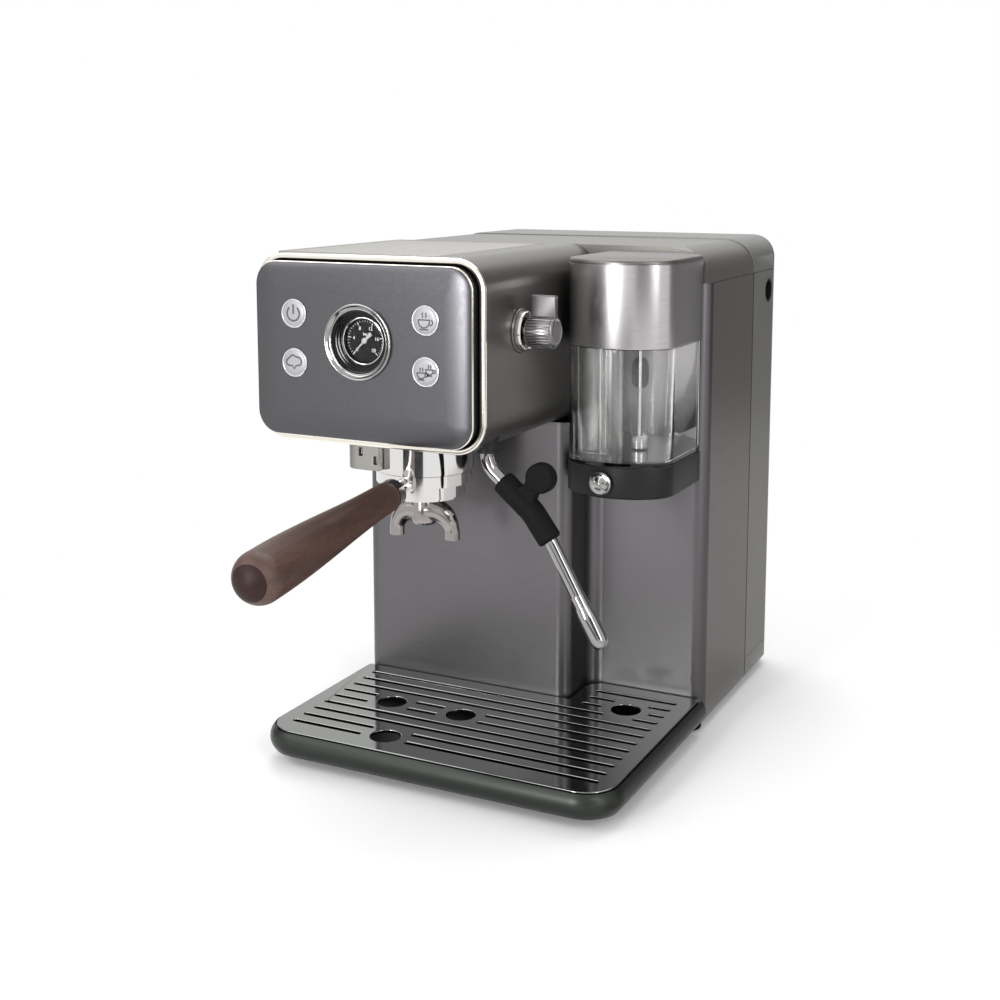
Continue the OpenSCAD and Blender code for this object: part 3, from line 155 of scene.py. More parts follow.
class Surface:
    """A material in the making, with its shader."""

    def __init__(self, name: str, colour: str) -> None:
        """Starts a material of one colour.

        Args:
            name: Name of the material.
            colour: Its base colour, as sRGB hex.
        """
        self.material = bpy.data.materials.new(name)
        self.material.use_nodes = True
        self.material.diffuse_color = linear(colour)
        self.tree = self.material.node_tree
        self.shader = self.tree.nodes["Principled BSDF"]
        self.set("Base Color", linear(colour))

    @cached_property
    def coords(self) -> Socket:
        """Returns the object coordinates, in metres, from a node made on first use."""
        return add_node(self.tree, "ShaderNodeTexCoord").outputs["Object"]

    def set(self, key: str, value: Any) -> None:
        """Gives an input of the shader a value or a link.

        Args:
            key: Name of the input.
            value: The value, or the socket that it comes from.
        """
        if isinstance(value, Socket):
            self.tree.links.new(value, self.shader.inputs[key])
        else:
            self.shader.inputs[key].default_value = value

    def noise(self, size_mm: float, detail: float, stretch: Point = (1, 1, 1)) -> Socket:
        """Adds noise whose grains have a real size.

        Args:
            size_mm: Size of a grain across the pattern.
            detail: Number of finer layers.
            stretch: Scale of the pattern along X, Y and Z; a small value draws it out.

        Returns:
            The noise's factor.
        """
        mapping = add_node(self.tree, "ShaderNodeMapping", {"Vector": self.coords, "Scale": stretch})
        inputs = {"Vector": mapping.outputs[0], "Scale": 1 / (size_mm * MM), "Detail": detail}
        return add_node(self.tree, "ShaderNodeTexNoise", inputs).outputs[0]

    def spread(self, factor: Socket, low: float, high: float, ends: Pair = (0.3, 0.7)) -> Socket:
        """Maps noise onto a range.

        Args:
            factor: The noise.
            low: Value at the noise's low end.
            high: Value at its high end.
            ends: The ends; most noise lies between 0.3 and 0.7.

        Returns:
            The mapped value.
        """
        inputs = {"Value": factor, "From Min": ends[0], "From Max": ends[1], "To Min": low, "To Max": high}
        return add_node(self.tree, "ShaderNodeMapRange", inputs).outputs["Result"]

    def bump(self, height: Socket, depth_mm: float, strength: float = 1.0) -> None:
        """Raises the surface by a height pattern.

        Args:
            height: Pattern from 0 to 1.
            depth_mm: Height of the pattern's highest points.
            strength: Share of the effect.
        """
        inputs = {"Height": height, "Distance": depth_mm * MM, "Strength": strength}
        self.set("Normal", add_node(self.tree, "ShaderNodeBump", inputs).outputs[0])

    def two_tone(self, factor: Socket, first: str, second: str) -> None:
        """Blends the base colour between two colours.

        Args:
            factor: Noise; its low end gives the first colour and its high end the second.
            first: First colour.
            second: Second colour.
        """
        mix = add_node(self.tree, "ShaderNodeMix", {0: self.spread(factor, 0.0, 1.0)}, data_type="RGBA")
        for key, colour in (("A", first), ("B", second)):
            next(s for s in mix.inputs if s.name == key and s.type == "RGBA").default_value = linear(colour)
        self.set("Base Color", next(s for s in mix.outputs if s.type == "RGBA"))

    def mix_with(self, share: Socket, other: Socket) -> None:
        """Mixes another shader into the surface.

        Args:
            share: Share of the other shader.
            other: The other shader.
        """
        mix = add_node(self.tree, "ShaderNodeMixShader", {0: share, 1: self.shader.outputs[0], 2: other})
        self.tree.links.new(mix.outputs[0], self.tree.nodes["Material Output"].inputs["Surface"])


# ---- Finishes ----


@dataclass(frozen=True)
class Finish:
    """A finish: what the material is, how its surface was made and the record's slot for it."""

    name: str
    colour: str
    roughness: float
    slot: Slot | None = None  # finishes that only dress CAD solids need none
    second: str = ""
    metallic: float = 0.0
    shine: float = 0.5

    def material(self) -> bpy.types.Material:
        """Gives the Blender material of this finish, made on its first use.

        Returns:
            The material.
        """
        found = bpy.data.materials.get(self.name)
        if found:
            return found
        surface = Surface(self.name, self.colour)
        surface.set("Roughness", self.roughness)
        surface.set("Metallic", self.metallic)
        surface.set("Specular IOR Level", self.shine)
        self.dress(surface)
        return surface.material

    def dress(self, surface: Surface) -> None:
        """Adds the finish's pattern; a plain finish has none.

        Args:
            surface: The material in the making.
        """


@dataclass(frozen=True)
class BrushedMetal(Finish):
    """Brushed or blasted metal: fine parallel scratches that spread its highlights across them."""

    metallic: float = 1.0
    brush: Brush = Brush.BLASTED
    line_mm: float = 0.7  # real lines are near 0.1 mm; drawn coarser so that they show
    depth_mm: float = 0.006
    vary: float = 0.1
    cloud_mm: float = 60.0

    def dress(self, surface: Surface) -> None:
        """Adds brush lines to roughness, tone and height, and slow clouds; see Finish.dress for the args."""
        lines = surface.noise(self.line_mm, 6.0, self.brush.value)
        both = calc(surface.tree, "ADD", lines, surface.noise(self.cloud_mm, 2.0))
        half, swing = calc(surface.tree, "MULTIPLY", both, 0.5), self.vary / 2
        surface.set("Roughness", surface.spread(half, self.roughness - swing, self.roughness + swing))
        surface.two_tone(lines, self.colour, self.second)
        surface.bump(lines, self.depth_mm)


@dataclass(frozen=True)
class PolishedMetal(Finish):
    """Plated and polished metal: a mirror with faint wiping marks."""

    metallic: float = 1.0
    mark_mm: float = 9.0

    def dress(self, surface: Surface) -> None:
        """Adds the wiping marks."""
        marks = surface.noise(self.mark_mm, 5.0, (1, 1, 0.3))
        surface.set("Roughness", surface.spread(marks, self.roughness, self.roughness + 0.05))


@dataclass(frozen=True)
class CoatedMetal(Finish):
    """Metallic coat sprayed on sheet: fine flakes under a satin skin."""

    metallic: float = 0.85
    flake_mm: float = 0.35
    peel_mm: float = 2.5

    def dress(self, surface: Surface) -> None:
        """Adds flakes and orange peel; see Finish.dress for the args."""
        flakes, peel = surface.noise(self.flake_mm, 1.0), surface.noise(self.peel_mm, 2.0)
        surface.two_tone(flakes, self.colour, self.second)
        surface.set("Roughness", surface.spread(peel, self.roughness - 0.02, self.roughness + 0.03))
        surface.bump(peel, 0.004, 0.6)


@dataclass(frozen=True)
class MouldedPlastic(Finish):
    """Injection-moulded plastic with a fine spark-eroded grain."""

    grain_mm: float = 0.5
    depth_mm: float = 0.02

    def dress(self, surface: Surface) -> None:
        """Adds the mould's grain; see Finish.dress for the args."""
        grain = surface.noise(self.grain_mm, 3.0)
        surface.two_tone(grain, self.colour, self.second)
        surface.set("Roughness", surface.spread(grain, self.roughness - 0.03, self.roughness + 0.05))
        surface.bump(grain, self.depth_mm, 0.5)


@dataclass(frozen=True)
class ClearPlastic(Finish):
    """Clear moulded plastic or flat glass: it bends light and keeps faint flow marks."""

    ior: float = 1.5
    flow_mm: float = 14.0

    def dress(self, surface: Surface) -> None:
        """Makes the body clear, lets light through and adds flow marks; see Finish.dress for the args."""
        surface.set("Transmission Weight", 1.0)
        surface.set("IOR", self.ior)
        flow = surface.noise(self.flow_mm, 1.0, (1, 1, 0.25))
        surface.set("Roughness", surface.spread(flow, self.roughness, self.roughness + 0.02))
        surface.bump(flow, 0.02, 0.15)
        path = add_node(surface.tree, "ShaderNodeLightPath").outputs
        lighting = calc(surface.tree, "MAXIMUM", path["Is Shadow Ray"], path["Is Diffuse Ray"])
        open_body = add_node(surface.tree, "ShaderNodeBsdfTransparent", {"Color": (0.97, 0.97, 0.97, 1)})
        surface.mix_with(lighting, open_body.outputs[0])


@dataclass(frozen=True)
class OiledWood(Finish):
    """Turned and oiled walnut: long figure, fine pores and a soft sheen."""

    figure_mm: float = 9.0
    fibre_mm: float = 0.9
    pore_mm: float = 0.7

    def dress(self, surface: Surface) -> None:
        """Adds figure, fibres and pores along the grip; see Finish.dress for the args."""
        figure = surface.noise(self.figure_mm, 5.0, (1, 0.09, 1))
        fibres = surface.noise(self.fibre_mm, 3.0, (1, 0.03, 1))
        pores = surface.noise(self.pore_mm, 1.0, (1, 0.10, 1))
        ramp = add_node(surface.tree, "ShaderNodeValToRGB", {"Fac": figure})
        dark, light = ramp.color_ramp.elements
        dark.position, dark.color = 0.32, linear(self.second)
        light.position, light.color = 0.66, linear(self.colour)
        shade, pits = surface.spread(fibres, 0.9, 1.06), surface.spread(pores, 0.62, 1.0, (0.33, 0.42))
        both = calc(surface.tree, "MULTIPLY", shade, pits)
        scaled = {0: ramp.outputs["Color"], "Scale": both}
        toned = add_node(surface.tree, "ShaderNodeVectorMath", scaled, operation="SCALE")
        surface.set("Base Color", toned.outputs[0])
        surface.set("Roughness", surface.spread(fibres, self.roughness - 0.06, self.roughness + 0.08))
        surface.bump(both, 0.05, 0.35)


class Finishes:
    """The finishes of this machine."""

    # Stainless steel, brushed across: highlights spread upwards and downwards
    FRONT_STEEL = BrushedMetal(
        "stainless_steel_brushed_front", "#676567", 0.36, second="#615f61",
        brush=Brush.AROUND, line_mm=0.3, depth_mm=0.0015, vary=0.05)
    LID_STEEL = BrushedMetal(
        "stainless_steel_brushed_lid", "#c0bebf", 0.25, Slot.BRUSHED_STEEL, "#b7b4b6",
        brush=Brush.AROUND, line_mm=0.3, depth_mm=0.002, vary=0.05)
    PLATE_STEEL = BrushedMetal(
        "stainless_steel_brushed_plate", "#9d9b96", 0.34, Slot.BRUSHED_STEEL, "#94928d", brush=Brush.ALONG_Y)
    # The milk pickup wears it, and the CAD node that the pickup belongs to is mainly clear plastic
    STEEL = BrushedMetal("stainless_steel_fine_brushed", "#c4c2c0", 0.25, Slot.CLEAR_PLASTIC, "#b3b1af")
    PLATED_STEEL = BrushedMetal(
        "steel_zinc_plated_sheet", "#8c8d8f", 0.4, second="#7b7c7e", brush=Brush.ALONG_Y)
    # Steel sheet with a titanium-grey metallic coat: dark, with a soft sheen
    BODY_COAT = CoatedMetal("steel_sheet_titanium_coat", "#706e6b", 0.33, Slot.BODY_GREY, "#676562")
    PAD_COAT = CoatedMetal("steel_pad_titanium_satin_coat", "#59585b", 0.3, Slot.PAD_GREY, "#545356")
    TRAY_COAT = CoatedMetal("steel_tray_dark_satin_coat", "#373a37", 0.36, second="#303330")
    TANK_SHELL = CoatedMetal(
        "tank_shell_satin_grey_coat", "#757471", 0.36, Slot.BODY_GREY, "#6c6b68", metallic=0.6)
    BUTTON_FACE = CoatedMetal(
        "abs_button_satin_silver_coat", "#99989b", 0.42, Slot.BUTTON_GREY, "#919093", metallic=0.35)
    # Chrome and polished steel: clear mirrors of different depth; the darker tones of the bezel, the froth
    # dial and the pipe are painted dark reflections
    CHROME = PolishedMetal("chrome_polished_plating", "#e3e1e0", 0.04, Slot.CHROME)
    # The bezel's and the froth dial's chrome is a darker copy of the chrome: painted dark reflections
    BEZEL_CHROME = PolishedMetal("chrome_plating_painted_dark_reflections", "#a3a2a1", 0.1, Slot.CHROME)
    # The pipe's and the tip's tone is darker than polished stainless: partly the steel's own tone, partly
    # painted dark reflections
    PIPE_CHROME = PolishedMetal("polished_stainless_and_painted_dark_reflections", "#9c9a9b", 0.06, Slot.CHROME)
    FRAME_CHROME = PolishedMetal("nickel_polished_frame", "#f0ece2", 0.09, Slot.CHROME)
    MIRROR_GRATE = PolishedMetal("stainless_steel_dark_mirror", "#8b8d8a", 0.06, Slot.GLOSS_BLACK)
    BUTTON_RIM = PolishedMetal("abs_button_bright_rim", "#e6e5e6", 0.18, Slot.BUTTON_GREY, metallic=0.9)
    # Cast and blasted metals
    SATIN_ZINC = BrushedMetal("zinc_satin_blasted", "#b9b7b4", 0.3, Slot.SATIN_METAL, "#a9a7a4", line_mm=0.4)
    BRACKET_ZINC = BrushedMetal(
        "zinc_die_cast_satin", "#9d9b97", 0.34, Slot.SATIN_METAL, "#918f8b", line_mm=0.4)
    SPOUT_ZINC = BrushedMetal(
        "zinc_die_cast_satin_chrome", "#a19c9a", 0.16, Slot.CHROME, "#979290", line_mm=0.8, depth_mm=0.004)
    # The lever wears a darker copy of the knob's zinc: painted shade
    LEVER_ZINC = BrushedMetal("zinc_lever_satin_painted_shade", "#646264", 0.36, Slot.SATIN_METAL, "#5c5a5c", line_mm=0.4)
    KNOB_METAL = BrushedMetal(
        "zinc_knob_dark_satin", "#8d8b8d", 0.26, Slot.SATIN_METAL, "#817f81", line_mm=0.4)
    CAST = BrushedMetal("aluminium_as_cast", "#b4b4b3", 0.5, second="#9c9c9b", line_mm=1.5, depth_mm=0.05)
    BRASS = BrushedMetal("brass_turned", "#c9a456", 0.25, second="#b8944a")
    # Plastics, rubber, print and glass
    BLACK = MouldedPlastic("abs_black_moulded", "#171718", 0.4, Slot.BLACK_PLASTIC, "#131314", shine=0.25)
    GAUGE_BLACK = MouldedPlastic(
        "abs_black_gloss_recess", "#0c0c0d", 0.16, Slot.BLACK_PLASTIC, "#09090a", shine=0.3)
    RUBBER = MouldedPlastic(
        "silicone_rubber_matt_moulded", "#060707", 0.65, Slot.RUBBER, "#090a0a", shine=0.12, grain_mm=0.4)
    ICON_INK = MouldedPlastic("pad_printed_grey_ink", "#4b4a4d", 0.6, Slot.DIAL_BLACK, "#444346")
    DIAL = MouldedPlastic("aluminium_dial_black_printed", "#0d0d0e", 0.6, second="#0b0b0c", shine=0.15)
    DIAL_PRINT = MouldedPlastic("dial_print_white", "#f0f0f0", 0.5, Slot.DIAL_BLACK, "#ebebeb")
    BOARD = MouldedPlastic("fibreglass_board_green_mask", "#1b5a33", 0.35, second="#174d2b")
    HOSE = MouldedPlastic("silicone_hose_extruded", "#d9d8d2", 0.45, second="#cfcec8")
    CLEAR = ClearPlastic("copolyester_clear_moulded", "#fefefe", 0.01, Slot.CLEAR_PLASTIC, ior=1.45)
    FROSTED = ClearPlastic("copolyester_clear_frosted", "#fafaf8", 0.22, Slot.CLEAR_PLASTIC, ior=1.4)
    GLASS = ClearPlastic("glass_flat_anti_reflection", "#ffffff", 0.0, ior=1.12)
    # Wood
    WALNUT = OiledWood("walnut_turned_oiled", "#523830", 0.45, Slot.WALNUT, "#412b23")
    WALNUT_END = OiledWood("walnut_turned_end_grain", "#2a1614", 0.5, Slot.WALNUT, "#1d100e", shine=0.22)


# ---- Shapes ----


def facing(x: float, y: float, z: float) -> Matrix:
    """Returns the place of a piece that is drawn upright and faces the front at x, y, z."""
    return Matrix.Translation((x, y, z)) @ Matrix.Rotation(math.pi / 2, 4, "X")


def sideways(x: float, y: float, z: float) -> Matrix:
    """Returns the place of a piece that is drawn upright and faces the right at x, y, z."""
    return Matrix.Translation((x, y, z)) @ Matrix.Rotation(math.pi / 2, 4, "Y")


def to_row(place: Matrix) -> Matrix:
    """Returns a place in the machine's millimetres as one in the row frame's metres."""
    return Matrix.Scale(MM, 4) @ Matrix.Translation((0, FRONT_SHIFT, 0)) @ place


def quarter(steps: int) -> list[float]:
    """Returns the angles of a quarter turn in equal steps, in radians."""
    return [math.pi / 2 * i / steps for i in range(steps + 1)]


def fillet(r: float, steps: int = 5) -> list[Pair]:
    """Returns a quarter-round edge as (inset, drop) from the side to the face."""
    return [(r - r * math.cos(a), r - r * math.sin(a)) for a in quarter(steps)]


def arc(cx: float, cy: float, r: float, start: float, stop: float, steps: int) -> list[Pair]:
    """Gives points along an arc.

    Args:
        cx: Centre, first coordinate.
        cy: Centre, second coordinate.
        r: Radius.
        start: First angle in degrees.
        stop: Last angle in degrees.
        steps: Number of steps.

    Returns:
        steps + 1 points.
    """
    angles = [math.radians(start + (stop - start) * i / steps) for i in range(steps + 1)]
    return [(cx + r * math.cos(a), cy + r * math.sin(a)) for a in angles]


def rounded_rect(x0: float, x1: float, y0: float, y1: float, r: float, steps: int) -> list[Pair]:
    """Gives points round a rectangle with round corners, anticlockwise from the right of its low edge.

    Args:
        x0: Low side of the first coordinate.
        x1: High side of the first coordinate.
        y0: Low side of the second coordinate.
        y1: High side of the second coordinate.
        r: Corner radius.
        steps: Steps in each corner.

    Returns:
        The outline's points.
    """
    r = max(r, 0.01)
    corners = ((x1 - r, y0 + r, -90), (x1 - r, y1 - r, 0), (x0 + r, y1 - r, 90), (x0 + r, y0 + r, 180))
    return [p for cx, cy, a in corners for p in arc(cx, cy, r, a, a + 90, steps)]


def distance(a: Sequence[float], b: Sequence[float]) -> float:
    """Returns the distance between two points by their first two coordinates."""
    return math.hypot(b[0] - a[0], b[1] - a[1])


def link(piece: Piece) -> Piece:
    """Puts an object in the scene and returns it."""
    bpy.context.scene.collection.objects.link(piece)
    return piece


class Shape:
    """A surface in the making, in millimetres of the machine's frame."""

    def __init__(self, place: Matrix = IDENTITY) -> None:
        """Starts an empty surface.

        Args:
            place: Where the piece's own frame lies in the machine's.
        """
        self.place = place
        self.points: list[Vector] = []
        self.faces: list[list[int]] = []

    def loft(self, rings: Sequence[Sequence[Sequence[float]]], hoop: bool = False) -> "Shape":
        """Skins a stack of closed rings that have equally many points.

        Args:
            rings: The rings, in order.
            hoop: Joins the last ring to the first instead of closing both ends.

        Returns:
            This shape.
        """
        base, count, rows = len(self.points), len(rings[0]), len(rings)
        self.points += [self.place @ Vector(p) for ring in rings for p in ring]
        for j in range(rows if hoop else rows - 1):
            a, b = base + j * count, base + (j + 1) % rows * count
            self.faces += [[a + k, a + (k + 1) % count, b + (k + 1) % count, b + k] for k in range(count)]
        if not hoop:
            self.faces.append([base + k for k in reversed(range(count))])
            self.faces.append([base + (rows - 1) * count + k for k in range(count)])
        return self

    def lathe(self, profile: Flat, steps: int = 96, hoop: bool = False) -> "Shape":
        """Turns a profile of (radius, height) round the frame's Z; see loft for hoop and the result."""
        turn = [math.tau * k / steps for k in range(steps)]
        return self.loft([[(r * math.cos(a), r * math.sin(a), h) for a in turn] for r, h in profile], hoop)

    def stack(self, plan: Plan, levels: Flat, hoop: bool = False) -> "Shape":
        """Skins an outline at levels of (inset, height); see loft for hoop and the result."""
        return self.loft([[(u, v, h) for u, v in plan(inset)] for inset, h in levels], hoop)

    def prism(self, outline: Flat, low: float, high: float) -> "Shape":
        """Extrudes a plain outline from one height to another; see loft for the result."""
        return self.stack(lambda inset: outline, [(0.0, low), (0.0, high)])

    def slab(self, plan: Plan, low: float, high: float, edge: float, low_edge: float) -> "Shape":
        """Extrudes an outline from low to high with round edges.

        Args:
            plan: Gives the outline at an inset.
            low: Height of the low face.
            high: Height of the high face.
            edge: Rounding of the high edge.
            low_edge: Rounding of the low edge.

        Returns:
            This shape.
        """
        levels = [(i, low + d) for i, d in reversed(fillet(max(low_edge, 0.01)))]
        return self.stack(plan, levels + [(i, high - d) for i, d in fillet(max(edge, 0.01))])

    def sweep(self, path: Sequence[Sequence[float]], radii: Sequence[float], sides: int) -> "Shape":
        """Sweeps a round section along a path.

        Args:
            path: Points of the centre line.
            radii: Radius at each point.
            sides: Sides of the section.

        Returns:
            This shape.
        """
        line, across, rings = [Vector(p) for p in path], Vector((0, 1, 0)), []
        turn = [math.tau * k / sides for k in range(sides)]
        for i, (point, radius) in enumerate(zip(line, radii)):
            along = (line[min(i + 1, len(line) - 1)] - line[max(i - 1, 0)]).normalized()
            across = (across - along * across.dot(along)).normalized()
            other = along.cross(across)
            rings.append([point + (across * math.cos(a) + other * math.sin(a)) * radius for a in turn])
        return self.loft(rings)

    def ribbon(self, line: Flat, width: float, low: float, high: float) -> "Shape":
        """Draws a flat stroke of one width along a line, from height low to high.

        Args:
            line: Points of the stroke.
            width: Its width.
            low: Height of its underside.
            high: Height of its face.

        Returns:
            This shape.
        """
        rings = []
        for i, (u, v) in enumerate(line):
            before, after = line[max(i - 1, 0)], line[min(i + 1, len(line) - 1)]
            length = distance(before, after) or 1.0
            nu = -(after[1] - before[1]) / length * width / 2
            nv = (after[0] - before[0]) / length * width / 2
            left, right = (u - nu, v - nv), (u + nu, v + nv)
            rings.append([(*left, low), (*right, low), (*right, high), (*left, high)])
        return self.loft(rings)

    def object(self, name: str) -> Piece:
        """Makes the Blender object, in metres of the row frame.

        Args:
            name: Name of the piece.

        Returns:
            The object, at the origin.
        """
        mesh = bpy.data.meshes.new(name)
        mesh.from_pydata([(p + Vector((0, FRONT_SHIFT, 0))) * MM for p in self.points], [], self.faces)
        return clean(link(bpy.data.objects.new(name, mesh)))


def clean(piece: Piece) -> Piece:
    """Merges doubles, turns the faces outwards and smooths a piece up to its creases.

    Args:
        piece: The piece.

    Returns:
        The piece.
    """
    work = bmesh.new()
    work.from_mesh(piece.data)
    bmesh.ops.remove_doubles(work, verts=work.verts, dist=MERGE_M)
    bmesh.ops.dissolve_degenerate(work, edges=work.edges, dist=MERGE_M / 10)
    bmesh.ops.recalc_face_normals(work, faces=work.faces)
    work.to_mesh(piece.data)
    work.free()
    piece.data.shade_smooth()
    piece.data.set_sharp_from_angle(angle=CREASE)
    return piece


def final_mesh(piece: Piece) -> bpy.types.Mesh:
    """Works an object's modifiers into a new mesh.

    Args:
        piece: An object in the scene.

    Returns:
        The mesh.
    """
    graph = bpy.context.evaluated_depsgraph_get()
    graph.update()
    return bpy.data.meshes.new_from_object(piece.evaluated_get(graph))


def bake(piece: Piece) -> Piece:
    """Turns a piece's modifiers into its mesh and removes them.

    Args:
        piece: A piece in the scene.

    Returns:
        The piece.
    """
    mesh = final_mesh(piece)
    piece.modifiers.clear()
    piece.data = mesh
    return piece


def cut(piece: Piece, cutter: Shape) -> Piece:
    """Cuts a shape out of a piece.

    Args:
        piece: The piece.
        cutter: Closed shape to take away.

    Returns:
        The piece.
    """
    tool = cutter.object("cutter")
    boolean = piece.modifiers.new("cut", "BOOLEAN")
    boolean.operation, boolean.solver, boolean.object = "DIFFERENCE", "EXACT", tool
    bake(piece)
    bpy.data.objects.remove(tool)
    return clean(piece)


def soften(piece: Piece, width_mm: float, segments: int = 2, clamp: bool = True) -> Piece:
    """Rounds a piece's sharp edges.

    Args:
        piece: The piece.
        width_mm: Width of the rounding.
        segments: Steps of the rounding.
        clamp: Whether short edges may narrow it.

    Returns:
        The piece.
    """
    bevel = piece.modifiers.new("soften", "BEVEL")
    bevel.width, bevel.segments, bevel.limit_method = width_mm * MM, segments, "ANGLE"
    bevel.angle_limit, bevel.harden_normals, bevel.use_clamp_overlap = BEVEL_FROM, True, clamp
    return bake(piece)


def softened_node(node: str, name: str, width_mm: float, segments: int = 2, clamp: bool = True) -> Piece:
    """Copies a CAD node's solid and rounds its sharp edges.

    Args:
        node: The CAD node.
        name: Name of the new piece.
        width_mm: Width of the rounding.
        segments: Steps of the rounding.
        clamp: Whether short edges may narrow it.

    Returns:
        The new piece.
    """
    piece = bpy.data.objects.new(name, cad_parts[node].data.copy())
    piece.data.materials.clear()
    if "custom_normal" in piece.data.attributes:
        piece.data.attributes.remove(piece.data.attributes["custom_normal"])
    work = bmesh.new()
    work.from_mesh(piece.data)
    bmesh.ops.remove_doubles(work, verts=work.verts, dist=MERGE_M * 2)
    bmesh.ops.dissolve_limit(work, angle_limit=math.radians(0.6), verts=work.verts, edges=work.edges)
    work.to_mesh(piece.data)
    work.free()
    piece.data.shade_smooth()
    piece.data.set_sharp_from_angle(angle=BEVEL_FROM)
    return soften(link(piece), width_mm, segments, clamp)


def joined(name: str, parts: Sequence[Piece]) -> Piece:
    """Joins parts of one finish into one piece.

    Args:
        name: Name of the piece.
        parts: Linked mesh objects at the origin.

    Returns:
        The piece.
    """
    work = bmesh.new()
    for part in parts:
        work.from_mesh(part.data)
    mesh = bpy.data.meshes.new(name)
    work.to_mesh(mesh)
    work.free()
    for part in parts:
        bpy.data.objects.remove(part)
    return link(bpy.data.objects.new(name, mesh))


def words(text: str, size: float, place: Matrix) -> Piece:
    """Makes flat printed figures as a mesh.

    Args:
        text: The figures.
        size: Their height.
        place: Where their middle lies in the machine's frame.

    Returns:
        The object, in metres of the row frame.
    """
    curve = bpy.data.curves.new("figures", "FONT")
    curve.body, curve.size, curve.extrude = text, size, PRINT_MM
    curve.align_x, curve.align_y = "CENTER", "CENTER"
    piece = link(bpy.data.objects.new("figures", curve))
    mesh = final_mesh(piece)
    bpy.data.objects.remove(piece)
    mesh.transform(to_row(place))
    return link(bpy.data.objects.new("figures", mesh))


def paint(piece: Piece, finish: Finish) -> None:
    """Gives a piece one finish in place of what it had."""
    piece.data.materials.clear()
    piece.data.materials.append(finish.material())


def show(piece: Piece, finish: Finish, body: str, *nodes: str) -> None:
    """Dresses a piece, lets it ride on its body and reports it.

    Args:
        piece: The finished piece.
        finish: Its finish.
        body: CAD body that it moves with.
        *nodes: CAD nodes that it stands for.
    """
    paint(piece, finish)
    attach(piece, body)
    if nodes:
        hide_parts(*nodes)
    LOG.info("%s: %d faces, rides on %s", piece.name, len(piece.data.polygons), body)


def dress_nodes(finish: Finish, *nodes: str) -> None:
    """Gives CAD nodes whose shape is right their finish.

    Args:
        finish: The finish.
        *nodes: Names of the nodes.
    """
    for name in nodes:
        paint(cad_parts[name], finish)
        LOG.info("%s: CAD solid, %s", name, finish.name)


# ---- Repeats and pipes, by Geometry Nodes ----


def open_tree(name: str, inputs: dict[str, str]) -> tuple[Tree, Any]:
    """Starts a Geometry Nodes tree.

    Args:
        name: Name of the tree.
        inputs: Kind of each input, such as Float, by its label.

    Returns:
        The tree and the sockets of its inputs.
    """
    tree = bpy.data.node_groups.new(name, "GeometryNodeTree")
    for label, kind in {"Geometry": "Geometry", **inputs}.items():
        tree.interface.new_socket(label, in_out="INPUT", socket_type="NodeSocket" + kind)
    tree.interface.new_socket("Geometry", in_out="OUTPUT", socket_type="NodeSocketGeometry")
    return tree, add_node(tree, "NodeGroupInput").outputs


def close_tree(tree: Tree, shape: Socket, finish: Finish) -> Tree:
    """Ends a tree: its shape is made real and painted.

    Args:
        tree: The tree.
        shape: The shape.
        finish: Its finish.

    Returns:
        The tree.
    """
    real = add_node(tree, "GeometryNodeRealizeInstances", {"Geometry": shape}).outputs[0]
    inputs = {"Geometry": real, "Material": finish.material()}
    painted = add_node(tree, "GeometryNodeSetMaterial", inputs).outputs[0]
    add_node(tree, "NodeGroupOutput", {"Geometry": painted})
    return tree


def run_tree(name: str, tree: Tree, values: dict[str, Any], place: Matrix, soft_mm: float = 0.0) -> Piece:
    """Runs a Geometry Nodes tree once and keeps its result as a plain mesh.

    Args:
        name: Name of the piece.
        tree: The tree.
        values: Value of each named input.
        place: Where the result's own frame lies in the machine's, in millimetres.
        soft_mm: Rounding of its edges.

    Returns:
        The piece, in metres of the row frame.
    """
    piece = link(bpy.data.objects.new(name, bpy.data.meshes.new(name)))
    modifier = piece.modifiers.new("repeat", "NODES")
    modifier.node_group = tree
    for item in tree.interface.items_tree:
        if item.in_out == "INPUT" and item.name in values:
            modifier[item.identifier] = values[item.name]
    bake(piece)
    piece.data.transform(to_row(place))
    return soften(piece, soft_mm) if soft_mm else piece


